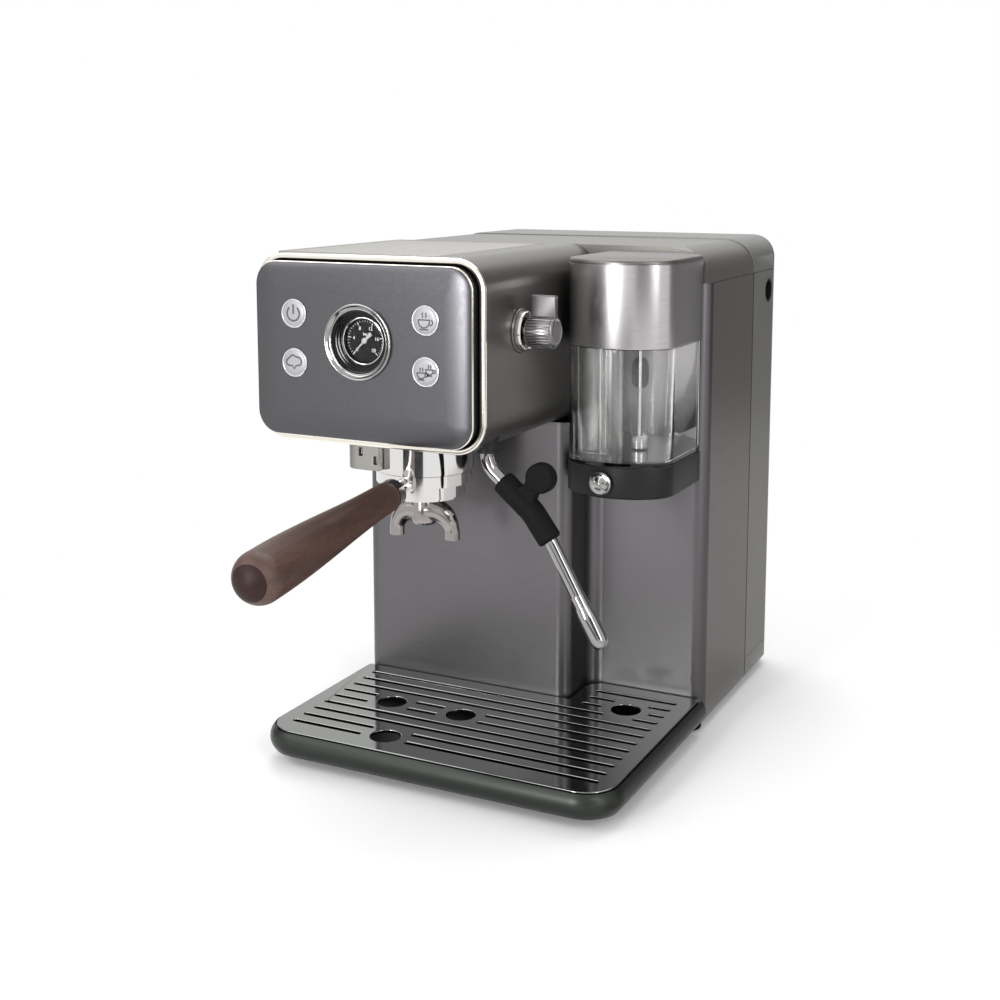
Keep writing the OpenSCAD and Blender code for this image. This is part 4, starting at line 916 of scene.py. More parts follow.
@dataclass(frozen=True)
class Ring:
    """A ring of equal bars round an axis, such as ribs or scale marks."""

    count: int
    radius: float
    size: Point
    start: float = 0.0
    sweep: float = 360.0
    height: float = 0.0

    def tree(self, finish: Finish) -> Tree:
        """Builds the node tree, whose inputs are the ring's sizes.

        Args:
            finish: Finish of the bars.

        Returns:
            The tree.
        """
        kinds = {"Count": "Int", "Radius": "Float", "Step angle": "Float", "Start angle": "Float"}
        tree, given = open_tree("ring_of_bars", {**kinds, "Height": "Float", "Bar size": "Vector"})
        line = add_node(tree, "GeometryNodeMeshLine", {"Count": given["Count"], "Offset": (0, 0, 0)})
        index = add_node(tree, "GeometryNodeInputIndex").outputs[0]
        turned = calc(tree, "MULTIPLY_ADD", index, given["Step angle"], given["Start angle"])
        waves = [calc(tree, wave, turned) for wave in ("COSINE", "SINE")]
        x, y = (calc(tree, "MULTIPLY", wave, given["Radius"]) for wave in waves)
        spot = add_node(tree, "ShaderNodeCombineXYZ", {0: x, 1: y, 2: given["Height"]}).outputs[0]
        inputs = {"Geometry": line.outputs[0], "Position": spot}
        placed = add_node(tree, "GeometryNodeSetPosition", inputs).outputs[0]
        bar = add_node(tree, "GeometryNodeMeshCube", {"Size": given["Bar size"]}).outputs[0]
        outwards = add_node(tree, "ShaderNodeCombineXYZ", {2: turned}).outputs[0]
        inputs = {"Points": placed, "Instance": bar, "Rotation": outwards}
        return close_tree(tree, add_node(tree, "GeometryNodeInstanceOnPoints", inputs).outputs[0], finish)

    def object(self, name: str, place: Matrix, finish: Finish, soft_mm: float = 0.0) -> Piece:
        """Makes the ring as a plain mesh; see run_tree for the other args and the result.

        Args:
            finish: Finish of the bars.
        """
        gaps = self.count if abs(self.sweep) >= 360 else self.count - 1
        values = {
            "Count": self.count, "Radius": self.radius, "Height": self.height, "Bar size": self.size,
            "Step angle": math.radians(self.sweep / gaps), "Start angle": math.radians(self.start)}
        return run_tree(name, self.tree(finish), values, place, soft_mm)


def pipe_tree(finish: Finish, path: Sequence[Sequence[float]]) -> Tree:
    """Builds a tree that runs a round pipe along a path.

    Args:
        finish: Finish of the pipe.
        path: Points of its centre line.

    Returns:
        The tree, with the inputs Radius and Sides.
    """
    curve = bpy.data.curves.new("pipe_path", "CURVE")
    curve.dimensions = "3D"
    spline = curve.splines.new("POLY")
    spline.points.add(len(path) - 1)
    for point, place in zip(spline.points, path):
        point.co = (*place, 1.0)
    route = bpy.data.objects.new("pipe_path", curve)
    tree, given = open_tree("pipe_along_path", {"Radius": "Float", "Sides": "Int"})
    line = add_node(tree, "GeometryNodeObjectInfo", {"Object": route}).outputs["Geometry"]
    inputs = {"Radius": given["Radius"], "Resolution": given["Sides"]}
    ring = add_node(tree, "GeometryNodeCurvePrimitiveCircle", inputs).outputs[0]
    inputs = {"Curve": line, "Profile Curve": ring, "Fill Caps": True}
    wall = add_node(tree, "GeometryNodeCurveToMesh", inputs).outputs[0]
    smooth = add_node(tree, "GeometryNodeSetShadeSmooth", {"Geometry": wall}).outputs[0]
    return close_tree(tree, smooth, finish)


# ---- Sub-assemblies ----


Drawing = Callable[[Shape, float, float], None]  # draws an icon from one height to another

@dataclass
class BrewHead:
    """The boxy head: polished frame, control pad, buttons and cup plate."""

    left: float = -121.0
    right: float = 40.0
    low: float = 217.0
    high: float = 334.5
    corner: float = 19.5
    frame_face: float = -128.6
    frame_depth: float = 8.0
    frame_bright: float = 2.6
    frame_width: float = 3.6
    frame_edges: Pair = (1.4, 0.6)
    pad_face: float = -138.1
    pad_back: float = -122.6
    pad_inset: float = 4.4
    pad_soft: Pair = (19.0, 2.7)
    pad_lip: float = 0.5
    pad_wall: float = 3.0
    pad_side: float = 0.55
    control_z: float = 282.8
    button_dx: float = 46.3
    button_dz: float = 30.5
    button_r: float = 9.0
    button_proud: float = 0.8
    button_gap: float = 0.3
    gauge_hole: float = 21.5
    plate: tuple[float, float, float, float] = (-113.0, 3.0, -117.6, 33.4)
    plate_r: float = 3.0

    def outline(self, inset: float) -> Flat:
        """Returns the head's front outline at an inset."""
        x0, x1, z0, z1 = self.left + inset, self.right - inset, self.low + inset, self.high - inset
        return rounded_rect(x0, x1, z0, z1, self.corner - inset, 16)

    def pad_outline(self, inset: float) -> Flat:
        """Returns the control pad's outline at an inset."""
        return self.outline(self.pad_inset + inset)

    def plate_outline(self, inset: float) -> Flat:
        """Returns the cup plate's plan at an inset."""
        x0, x1, y0, y1 = self.plate
        return rounded_rect(x0 + inset, x1 - inset, y0 + inset, y1 - inset, self.plate_r - inset, 6)

    def button_spot(self, column: int, row: int, y: float) -> Matrix:
        """Returns the place of a button at a depth; see build_button for the args."""
        middle = (self.left + self.right) / 2
        return facing(middle + column * self.button_dx, y, self.control_z + row * self.button_dz / 2)

    def build(self) -> None:
        """Builds the head's pieces."""
        self.build_frame()
        self.build_pad()
        levels = [(0.0, -1.0), (0.0, 0.0), (0.3, 0.2), (1.0, 0.2), (1.4, -0.2), (4.0, -0.35)]
        plate = Shape().stack(self.plate_outline, [(inset, self.high + h) for inset, h in levels])
        show(plate.object("cup_plate_rolled"), Finishes.PLATE_STEEL, "machine", "cup_plate")
        for column, row, name, drawing in (
            (-1, 1, "power", self.power_icon),
            (-1, -1, "steam", self.steam_icon),
            (1, 1, "single", self.single_icon),
            (1, -1, "double", self.double_icon),
        ):
            self.build_button(column, row, name, drawing)
        dress_nodes(Finishes.BODY_COAT, "head_housing")
        dress_nodes(Finishes.BLACK, "head_underside")
        dress_nodes(Finishes.RUBBER, "pad_seal")
        dress_nodes(Finishes.BOARD, "button_board")

    def build_frame(self) -> None:
        """Builds the polished frame as a hoop with round edges, and its coated flange behind."""
        face, wide = self.frame_face, self.frame_width
        back, end = face + self.frame_bright, face + self.frame_depth
        outer, inner = (fillet(edge) for edge in self.frame_edges)
        hoop = [(0.0, back), *[(i, face + d) for i, d in outer]]
        hoop += [(wide - i, face + d) for i, d in reversed(inner)] + [(wide, back)]
        bright = Shape(UPRIGHT).stack(self.outline, hoop, True).object("head_frame_polished")
        show(bright, Finishes.FRAME_CHROME, "machine", "head_frame")
        corners = [(0.0, back), (0.0, end), (wide, end), (wide, back)]
        flange = Shape(UPRIGHT).stack(self.outline, corners, True)
        show(flange.object("head_frame_flange"), Finishes.BODY_COAT, "machine")

    def build_pad(self) -> None:
        """Builds the control pad with its broad soft edge, its holes, its trim and the black skirt."""
        face, t, (wide, deep) = self.pad_face, self.pad_wall, self.pad_soft
        edge = face + deep
        lip = edge + self.pad_lip
        trim = [(0.0, edge + 0.2), (0.0, edge + 1.1), (0.5, edge + 1.1)]
        trim += [(0.5, edge - 0.15), (0.3, edge - 0.1)]
        skirt = [(0.6, lip), (0.6, self.pad_back), (t, self.pad_back), (t, lip)]
        for name, levels, finish in (
            ("control_pad_trim", trim, Finishes.FRAME_CHROME),
            ("control_pad_skirt", skirt, Finishes.BLACK),
        ):
            show(Shape(UPRIGHT).stack(self.pad_outline, levels, True).object(name), finish, "machine")
        shell = [(wide, face + t), (t + 1.5, lip), (self.pad_side, lip)]
        for a in quarter(16)[:-1]:
            shell.append((max(wide * (1 - math.cos(a)), self.pad_side), face + deep * (1 - math.sin(a))))
        pad = Shape(UPRIGHT).stack(self.pad_outline, shell).object("control_pad_shell")
        holes, low, high, r = Shape(), -face - t - 1, -face + 1, self.button_r + self.button_gap
        for column, row, radius in ((0, 0, self.gauge_hole), (-1, -1, r), (-1, 1, r), (1, -1, r), (1, 1, r)):
            holes.place = self.button_spot(column, row, 0)
            holes.lathe([(0, low), (radius, low), (radius, high), (0, high)])
        show(cut(pad, holes), Finishes.PAD_COAT, "machine", "control_pad")

    def build_button(self, column: int, row: int, name: str, drawing: Drawing) -> None:
        """Builds a push button with a bright rim and its icon.

        Args:
            column: -1 for the left column and 1 for the right.
            row: 1 for the upper row and -1 for the lower.
            name: What it starts, as its CAD body and node are named.
            drawing: Draws the icon between two heights.
        """
        place, node, body = self.button_spot(column, row, self.pad_face), "button_" + name, name + "_button"
        r, top, deep = self.button_r, self.button_proud, -self.pad_wall - 0.3
        cap = [(0, deep), (r - 1.0, deep), (r - 1.0, top - 0.45), (r - 1.5, top - 0.12)]
        cap += [(r - 4, top - 0.04), (0, top)]
        show(Shape(place).lathe(cap, 64).object(node + "_face"), Finishes.BUTTON_FACE, body, node)
        rim = [(r + 1.4, deep - 1.5), (r + 1.4, deep), (r, deep), (r, top - 0.4), (r - 0.35, top - 0.02)]
        rim += [(r - 0.75, top - 0.05), (r - 1.0, top - 0.4), (r - 1.0, deep - 1.5)]
        show(Shape(place).lathe(rim, 64, True).object(node + "_rim"), Finishes.BUTTON_RIM, body)
        icon = Shape(place)
        drawing(icon, top - 0.3, top + 0.02)
        show(icon.object(node + "_icon"), Finishes.ICON_INK, body)

    @staticmethod
    def power_icon(shape: Shape, low: float, high: float) -> None:
        """Draws an open ring with a bar; see build_button for the args."""
        shape.ribbon(arc(0, 0, 4.5, 128, 412, 36), 1.15, low, high)
        shape.ribbon([(0, -0.4), (0, 5.6)], 1.2, low, high)

    @staticmethod
    def steam_icon(shape: Shape, low: float, high: float) -> None:
        """Draws a cloud of steam; see build_button for the args."""
        cloud = arc(-3.4, 0.3, 2.2, 270, 110, 10) + arc(-0.9, 2.1, 2.5, 155, 45, 10)
        cloud += arc(2.8, 0.9, 2.6, 80, -55, 10) + [(1.3, -1.9), (0, -3.9), (-1.3, -1.9), (-3.4, -1.9)]
        shape.ribbon(cloud, 1.05, low, high)

    @staticmethod
    def cup(shape: Shape, x: float, y: float, scale: float, low: float, high: float) -> None:
        """Draws one cup with a handle, a saucer and steam.

        Args:
            shape: Takes the strokes.
            x: Middle of the cup.
            y: Height of its rim.
            scale: Its size.
            low: Height of the strokes' underside.
            high: Height of their face.
        """
        bowl = [(-2.6, 0), *arc(0, -0.6, 2.6, 180, 360, 14), (2.6, 0)]
        strokes = [[(-2.7, 0), (2.7, 0)], bowl, arc(3.0, -1.0, 1.1, 80, -110, 8), [(-2.0, -3.9), (2.0, -3.9)]]
        strokes += [[(u, 0.9), (u + 0.5, 1.6), (u, 2.3), (u + 0.5, 3.0)] for u in (-0.9, 0.7)]
        for stroke in strokes:
            shape.ribbon([(x + u * scale, y + v * scale) for u, v in stroke], 0.9, low, high)

    @classmethod
    def single_icon(cls, shape: Shape, low: float, high: float) -> None:
        """Draws one cup; see build_button for the args."""
        cls.cup(shape, -0.6, 0.4, 1.45, low, high)

    @classmethod
    def double_icon(cls, shape: Shape, low: float, high: float) -> None:
        """Draws two cups; see build_button for the args."""
        cls.cup(shape, -2.6, -0.6, 1.05, low, high)
        cls.cup(shape, 2.9, 1.6, 0.95, low, high)


@dataclass
class PressureGauge:
    """The gauge in the pad: bezel, stepped recess, dial, scale and needle."""

    x: float = -40.5
    z: float = 282.8
    face: float = -138.1
    outer_r: float = 23.5
    bezel_w: float = 4.2
    proud: float = 2.4
    back: float = -12.0
    dial_r: float = 13.5
    dial_y: float = -130.1
    figures: tuple[str, ...] = ("0", "4", "8", "12", "16", "20")
    figures_r: float = 8.2
    scale_start: float = 225.0
    scale_sweep: float = -270.0

    def build(self) -> None:
        """Builds the gauge's pieces."""
        place = facing(self.x, self.face, self.z)
        self.build_bezel(place)
        self.build_recess(place)
        self.build_scale()
        self.build_needle()
        dress_nodes(Finishes.DIAL, "gauge_dial")
        dress_nodes(Finishes.GLASS, "gauge_glass")

    def build_bezel(self, place: Matrix) -> None:
        """Builds the turned bezel: a round lip, a cove and a small inner bead.

        Args:
            place: Frame of the gauge on the pad's face.
        """
        r, w, p = self.outer_r, self.bezel_w, self.proud
        lip = arc(r - 0.8, p - 0.8, 0.8, 0, 135, 9)
        fall = [math.sin(a) for a in quarter(10)]
        cove = [(r - 1.5 - (w - 2.3) * k / 10, p - 0.5 - 1.5 * drop) for k, drop in enumerate(fall)]
        bead = arc(r - w + 0.45, p - 1.9, 0.35, 22.5, 180, 7)
        rim = [(r, 0.0), *lip, *cove, *bead, (r - w + 0.1, -4.0), (r - w + 1.2, -4.0), (r - w + 1.2, 0.0)]
        bezel = Shape(place).lathe(rim, 128, True).object("gauge_bezel_turned")
        # Its darker chrome is painted dark reflections
        show(bezel, Finishes.BEZEL_CHROME, "machine", "gauge_bezel")

    def build_recess(self, place: Matrix) -> None:
        """Builds the black stepped recess and its bright inner ring; see build_bezel for the args."""
        w, ring = self.outer_r - self.bezel_w, self.dial_r + 1.7
        steps = [(w - 0.02, -1.0), (w - 0.9, -1.6), (w - 1.1, -2.8), (w - 1.9, -3.0), (w - 2.1, -4.3)]
        steps += [(w - 2.9, -4.5), (w - 3.1, -5.6), (ring, -5.7), (ring - 1.6, -5.6), (ring - 1.6, -10.0)]
        recess = Shape(place).lathe([(w - 0.02, self.back), *steps, (0.0, -10.0), (0.0, self.back)], 128)
        show(recess.object("gauge_recess_stepped"), Finishes.GAUGE_BLACK, "machine", "gauge_case")
        bright = [(ring - 0.55, -5.4), (ring - 0.7, -5.1), (ring - 1.1, -5.0), (ring - 1.45, -5.2)]
        bright += [(ring - 1.5, -5.62), (ring - 0.55, -5.62)]
        inner = Shape(place).lathe(bright, 128, True).object("gauge_inner_ring")
        show(inner, Finishes.CHROME, "machine")

    def build_scale(self) -> None:
        """Builds the printed scale: long and short marks and figures."""
        place, finish, last = facing(self.x, self.dial_y, self.z), Finishes.DIAL_PRINT, len(self.figures) - 1
        parts = []
        for name, count, inside, size in (
            ("long", last + 1, 2.2, (2.2, 0.42, 0.06)),
            ("short", last * 6 + 1, 1.5, (1.0, 0.2, 0.06)),
        ):
            marks = Ring(count, self.dial_r - inside, size, self.scale_start, self.scale_sweep, 0.03)
            parts.append(marks.object(name, place, finish))
        for i, figure in enumerate(self.figures):
            a = math.radians(self.scale_start + self.scale_sweep / last * i)
            spot = Matrix.Translation((self.figures_r * math.cos(a), self.figures_r * math.sin(a), 0.0))
            parts.append(words(figure, 3.0, place @ spot))
        parts.append(words("bar", 2.4, place @ Matrix.Translation((0, 4.0, 0))))
        show(joined("gauge_scale_print", parts), finish, "machine")

    def build_needle(self) -> None:
        """Builds the needle with its tail and hub, at the scale's start."""
        turn = Matrix.Rotation(math.radians(self.scale_start), 4, "Z")
        needle = Shape(facing(self.x, self.dial_y - 0.8, self.z) @ turn)
        half = [(-6.6, -1.0), (-6.2, -1.25), (-1.5, -0.8), (10.6, -0.16)]
        needle.prism([*half, (10.8, 0.0), *[(u, -v) for u, v in reversed(half)]], 0.0, 0.4)
        needle.lathe([(0, -1.9), (0.9, -1.9), (0.9, 0), (1.9, 0.0), (1.9, 0.7), (1.5, 1.0), (0, 1.1)], 32)
        show(needle.object("gauge_needle_stamped"), Finishes.SATIN_ZINC, "needle", "gauge_needle")


@dataclass
class SteamControl:
    """The steam knob on the head's right side, and its ring."""

    x: float = 40.0
    y: float = -79.5
    z: float = 287.8
    bore_r: float = 5.2
    ring_r: float = 14.0
    ring_t: float = 5.0
    knob_r: float = 10.0
    knob_l: float = 19.0
    knob_gap: float = 0.4
    lever: Point = (17.0, 3.6, 22.5)
    lever_x: float = 1.5

    @property
    def base(self) -> float:
        """Returns where the knob's barrel begins, from the head's side."""
        return self.ring_t + self.knob_gap

    def lever_outline(self, inset: float) -> Flat:
        """Gives the lever's outline in X and Z; its foot stays in the knob.

        Args:
            inset: Distance inside the outline.

        Returns:
            Points, anticlockwise.
        """
        x0 = self.x + self.base + self.lever_x
        x1, z0, z1 = x0 + self.lever[0] - inset, self.z + self.knob_r - 3, self.z + self.lever[2] - inset
        return rounded_rect(x0 + inset, x1, z0, z1, 1.4 - inset, 5)

    def build(self) -> None:
        """Builds the ring, the ribbed knob and its lever."""
        place, b, r, t = sideways(self.x, self.y, self.z), self.bore_r, self.ring_r, self.ring_t
        flange = [(b, 0.0), (r - 0.3, 0.0), (r, 0.4), (r - 0.4, 0.9), (r - 1.6, 1.2), (b, 1.2)]
        flange_piece = Shape(place).lathe(flange, 96, True).object("knob_ring_flange")
        show(flange_piece, Finishes.BODY_COAT, "machine")
        ring = [(b, 1.3), (r - 1.7, 1.3), (r - 1.5, 1.6), (r - 1.5, t - 1.0), (r - 1.8, t - 0.3)]
        ring += [(r - 2.3, t), (r - 2.8, t - 0.3), (r - 3.1, t - 1.2), (b, t - 1.2)]
        ring_piece = Shape(place).lathe(ring, 96, True).object("knob_ring_turned")
        show(ring_piece, Finishes.CHROME, "machine", "knob_ring")
        r, base, end = self.knob_r, self.base, self.base + self.knob_l
        barrel = [(0, -6.0), (2.9, -6.0), (2.9, base), (r - 1.8, base), (r - 1.0, base + 0.6)]
        barrel += [(r - 0.7, base + 1.4), (r - 0.7, end - 1.8), (r - 1.2, end - 0.9), (r - 2.2, end - 0.25)]
        barrel += [(r - 3.2, end), (r - 3.8, end - 0.5), (0, end - 0.7)]
        knob = Shape(place).lathe(barrel, 96).object("barrel")
        bars = Ring(30, r - 0.62, (1.15, 1.15, self.knob_l - 3.2), height=(base + end) / 2 - 0.2)
        ribs = bars.object("ribs", place, Finishes.KNOB_METAL, 0.22)
        thick = self.lever[1]
        lever = Shape(facing(0, self.y + thick / 2, 0)).slab(self.lever_outline, 0, thick, 0.8, 0.8)
        # The lever's darker zinc is painted shade
        show(lever.object("steam_knob_lever"), Finishes.LEVER_ZINC, "knob")
        show(joined("steam_knob_ribbed", [knob, ribs]), Finishes.KNOB_METAL, "knob", "steam_knob")
        dress_nodes(Finishes.BRASS, "steam_valve")


@dataclass
class SteamWand:
    """The steam pipe with its rubber grip and tip."""

    x: float = 29.5
    y: float = -105.0
    top: float = 216.0
    pipe_r: float = 4.3
    grip_r: float = 7.5
    grip_from: float = 20.5
    grip_to: float = 68.0
    grip_edge: float = 1.6
    grip_steps: int = 40
    tab_r: float = 9.25
    tab_out: float = 20.0
    tab_at: float = 38.0
    tip_r: float = 5.75
    tip_l: float = 34.0
    tip_depth: float = 20.0
    melt_mm: float = 0.55
    crease_deg: float = 40.0
    # Straight length, then turn in degrees and its radius
    run: tuple[Point, ...] = ((1, 50, 16), (30, -14, 20), (18, -7, 25), (53, 0, 0))

    def line(self) -> list[Point]:
        """Follows the pipe's centre line, straight run by straight run and bend by bend.

        Returns:
            Points as distance out, distance down and heading in degrees.
        """
        u = w = heading = 0.0
        line = [(u, w, heading)]
        for straight, turn, radius in self.run:
            steps = [(straight / 6, 0.0)] * 6
            if turn:
                steps += [(math.radians(abs(turn) / 12) * radius, turn / 12)] * 12
            for length, bend in steps:
                middle = math.radians(heading + bend / 2)
                u, w, heading = u + length * math.sin(middle), w + length * math.cos(middle), heading + bend
                line.append((u, w, heading))
        return line

    def spot(self, along: float) -> Point:
        """Returns the centre line's point and heading at a distance along the pipe.

        Args:
            along: Millimetres from the head's underside.

        Returns:
            Distance out, distance down and heading in degrees.
        """
        line, gone = self.line(), 0.0
        for a, b in zip(line, line[1:]):
            length = distance(a, b)
            if gone + length >= along:
                share = (along - gone) / length
                return tuple(p + (q - p) * share for p, q in zip(a, b))
            gone += length
        return line[-1]

    def place(self, along: float) -> Matrix:
        """Gives a frame on the pipe, whose Z runs down the pipe.

        Args:
            along: Millimetres from the head's underside.

        Returns:
            Its place in the machine's frame.
        """
        u, w, heading = self.spot(along)
        down = Matrix.Translation((self.x + u, self.y, self.top - w)) @ Matrix.Rotation(math.pi, 4, "X")
        return down @ Matrix.Rotation(math.radians(heading), 4, "Y")

    def build(self) -> None:
        """Builds the pipe, the grip and the tip."""
        path = [(self.x, self.y, self.top + 12)]
        path += [(self.x + u, self.y, self.top - w) for u, w, _ in self.line()]
        # The pipe's darker steel is partly painted dark reflections
        tree = pipe_tree(Finishes.PIPE_CHROME, path)
        pipe = run_tree("steam_pipe_bent", tree, {"Radius": self.pipe_r, "Sides": 48}, IDENTITY)
        show(pipe, Finishes.PIPE_CHROME, "steam_wand", "steam_pipe")
        pipe.data.set_sharp_from_angle(angle=math.radians(self.crease_deg))
        self.build_grip()
        self.build_tip()
        dress_nodes(Finishes.BLACK, "wand_socket")

    def build_grip(self) -> None:
        """Builds the rubber grip with its thumb tab, melted into one skin."""
        e, half, r, out = self.grip_edge, self.grip_r * 0.62, self.tab_r, self.tab_out
        path, radii = [], []
        for i in range(self.grip_steps + 1):
            s = self.grip_from + (self.grip_to - self.grip_from) * i / self.grip_steps
            u, w, _ = self.spot(s)
            path.append((self.x + u, self.y, self.top - w))
            edge = min(s - self.grip_from, self.grip_to - s)
            radii.append(self.grip_r - e + e * math.sqrt(max(0.0, 1 - (1 - min(edge / e, 1)) ** 2)))
        shape = Shape().sweep(path, radii, 40)
        shape.place = self.place(self.tab_at) @ facing(out, 0, 0)
        rim = [(r - 1.6, -half), (r - 0.4, -half + 0.5), (r, -half + 1.8)]
        shape.lathe([(0, -half), *rim, *[(u, -h) for u, h in reversed(rim)], (0, half)], 64)
        web = [(-out, -r * 0.95), (-out * 0.5, -r * 0.52), (0, -r * 0.75)]
        shape.prism([*web, *[(u, -v) for u, v in reversed(web)]], -half + 0.3, half - 0.3)
        grip = shape.object("steam_grip_rubber")
        remesh = grip.modifiers.new("melt", "REMESH")
        remesh.mode, remesh.voxel_size, remesh.use_smooth_shade = "VOXEL", self.melt_mm * MM, True
        smooth = grip.modifiers.new("smooth", "SMOOTH")
        smooth.factor, smooth.iterations = 0.5, 10
        show(bake(grip), Finishes.RUBBER, "steam_wand", "wand_grip")

    def build_tip(self) -> None:
        """Builds the turned tip with its shoulder and steam hole."""
        r, p, end, line = self.tip_r, self.pipe_r, self.tip_l, self.line()
        profile = [(0, 0.0), (p + 0.05, 0.0), (p + 0.2, 0.0), (p + 0.3, 0.5), (p + 0.3, 6.8), (p + 0.5, 7.6)]
        profile += [(r - 0.4, 12.0), (r - 0.1, 13.4), (r, 15.0), (r, end - 6), (r - 0.25, end - 4)]
        profile += [(r - 1.0, end - 1.6), (r - 2.2, end - 0.3), (r - 3.2, end), (1.3, end)]
        profile += [(1.1, end - 2), (0, end - 2)]
        length = sum(distance(a, b) for a, b in zip(line, line[1:]))
        tip = Shape(self.place(length - self.tip_depth)).lathe(profile, 64)
        show(tip.object("steam_tip_turned"), Finishes.PIPE_CHROME, "steam_wand", "steam_tip")


@dataclass
class Group:
    """The group, the portafilter with its spouts and the wooden handle."""

    x: float = -40.5
    y: float = -59.0
    lock_deg: float = 5.0
    tilt_deg: float = 3.5
    handle_z: float = 186.5
    neck_reach: float = 56.0
    wood_l: float = 168.0
    neck_r: float = 9.5
    butt_r: float = 15.0
    dome_l: float = 14.0
    even_l: float = 10.0  # the grip's end, before the dome, keeps one radius
    cap_l: float = 4.0
    spout_z: float = 173.0
    spout_reach: float = 20.0
    spout_bend: float = 15.0
    spout_r: float = 5.0

    def turned(self) -> Matrix:
        """Returns the portafilter's frame, whose -Y runs along the locked handle."""
        return Matrix.Translation((self.x, self.y, 0)) @ Matrix.Rotation(math.radians(self.lock_deg), 4, "Z")

    def handle(self) -> Matrix:
        """Gives the frame of the wooden grip, whose Z runs out along it.

        Returns:
            Its place in the machine's frame.
        """
        tilt = Matrix.Rotation(math.radians(90 + self.tilt_deg), 4, "X")
        up, out = Matrix.Translation((0, 0, self.handle_z)), Matrix.Translation((0, 0, self.neck_reach))
        return self.turned() @ up @ tilt @ out

    def build(self) -> None:
        """Builds the spouts and the handle and dresses the CAD solids."""
        self.build_handle()
        self.build_spouts()
        bracket = softened_node("group_bracket", "group_bracket_soft", 1.2, 3)
        show(bracket, Finishes.BRACKET_ZINC, "machine", "group_bracket")
        dress_nodes(Finishes.CHROME, "group_collar", "portafilter")
        dress_nodes(Finishes.STEEL, "filter_basket", "shower_screen", "screen_screw")
        dress_nodes(Finishes.RUBBER, "group_gasket")

    def swell(self, h: float) -> float:
        """Gives the grip's radius, which swells smoothly from the neck to short of the dome.

        Args:
            h: Height along the grip.

        Returns:
            The radius there.
        """
        share = min(max(h / (self.wood_l - self.dome_l - self.even_l), 0.0), 1.0)
        neck = self.neck_r + 0.2
        return neck + (self.butt_r - neck) * share * share * (3 - 2 * share)

    def build_handle(self) -> None:
        """Builds the wooden grip and its domed end."""
        end, split, n = self.wood_l - self.dome_l, self.wood_l - self.cap_l, self.neck_r
        dome = [(self.butt_r * math.cos(a), end + self.dome_l * math.sin(a)) for a in quarter(24)]
        seam = self.butt_r * math.sqrt(1 - ((split - end) / self.dome_l) ** 2)
        grip = [(0, 0), (n - 1.2, 0), (n - 0.3, 0.4), (n, 1.4)]
        grip += [(self.swell(h), h) for h in (3 + (end - 3) * i / 40 for i in range(41))]
        grip += [p for p in dome[1:] if p[1] < split] + [(seam, split), (0, split)]
        cap = [(0, split), (seam, split)] + [p for p in dome if p[1] > split]
        for name, profile, finish, node in (
            ("wood_handle_turned", grip, Finishes.WALNUT, "wood_handle"),
            ("handle_cap_domed", cap, Finishes.WALNUT_END, "handle_cap"),
        ):
            show(Shape(self.handle()).lathe(profile, 72).object(name), finish, "portafilter", node)

    def build_spouts(self) -> None:
        """Builds the twin spout: a stem with two crescent arms."""
        shape, z, r = Shape(self.turned()), self.spout_z, self.spout_r
        stem = [(0, 19.5), (7.6, 19.5), (9.2, 18.0), (9.6, 15.0), (9.2, 5.0), (8.4, 2.0)]
        stem += [(8.6, 0.05), (0, 0.05)]
        shape.lathe([(u, z - drop) for u, drop in stem], 64)
        out, bend = self.spout_reach, self.spout_bend
        for side in (-1, 1):
            arm = [(out - bend + bend * math.sin(a), z - 25 + bend * math.cos(a)) for a in quarter(20)]
            arm = [(side * u, 0, h) for u, h in [*arm, (out, z - 27), (out, z - 29)]]
            radii = [r + 3.6 * max(1 - k / 17, 0) for k in range(len(arm))]
            shape.sweep([(0, 0, z - 10.5), *arm], [r + 4.4, *radii], 32)
        show(shape.object("spout_twin"), Finishes.SPOUT_ZINC, "portafilter", "spout")


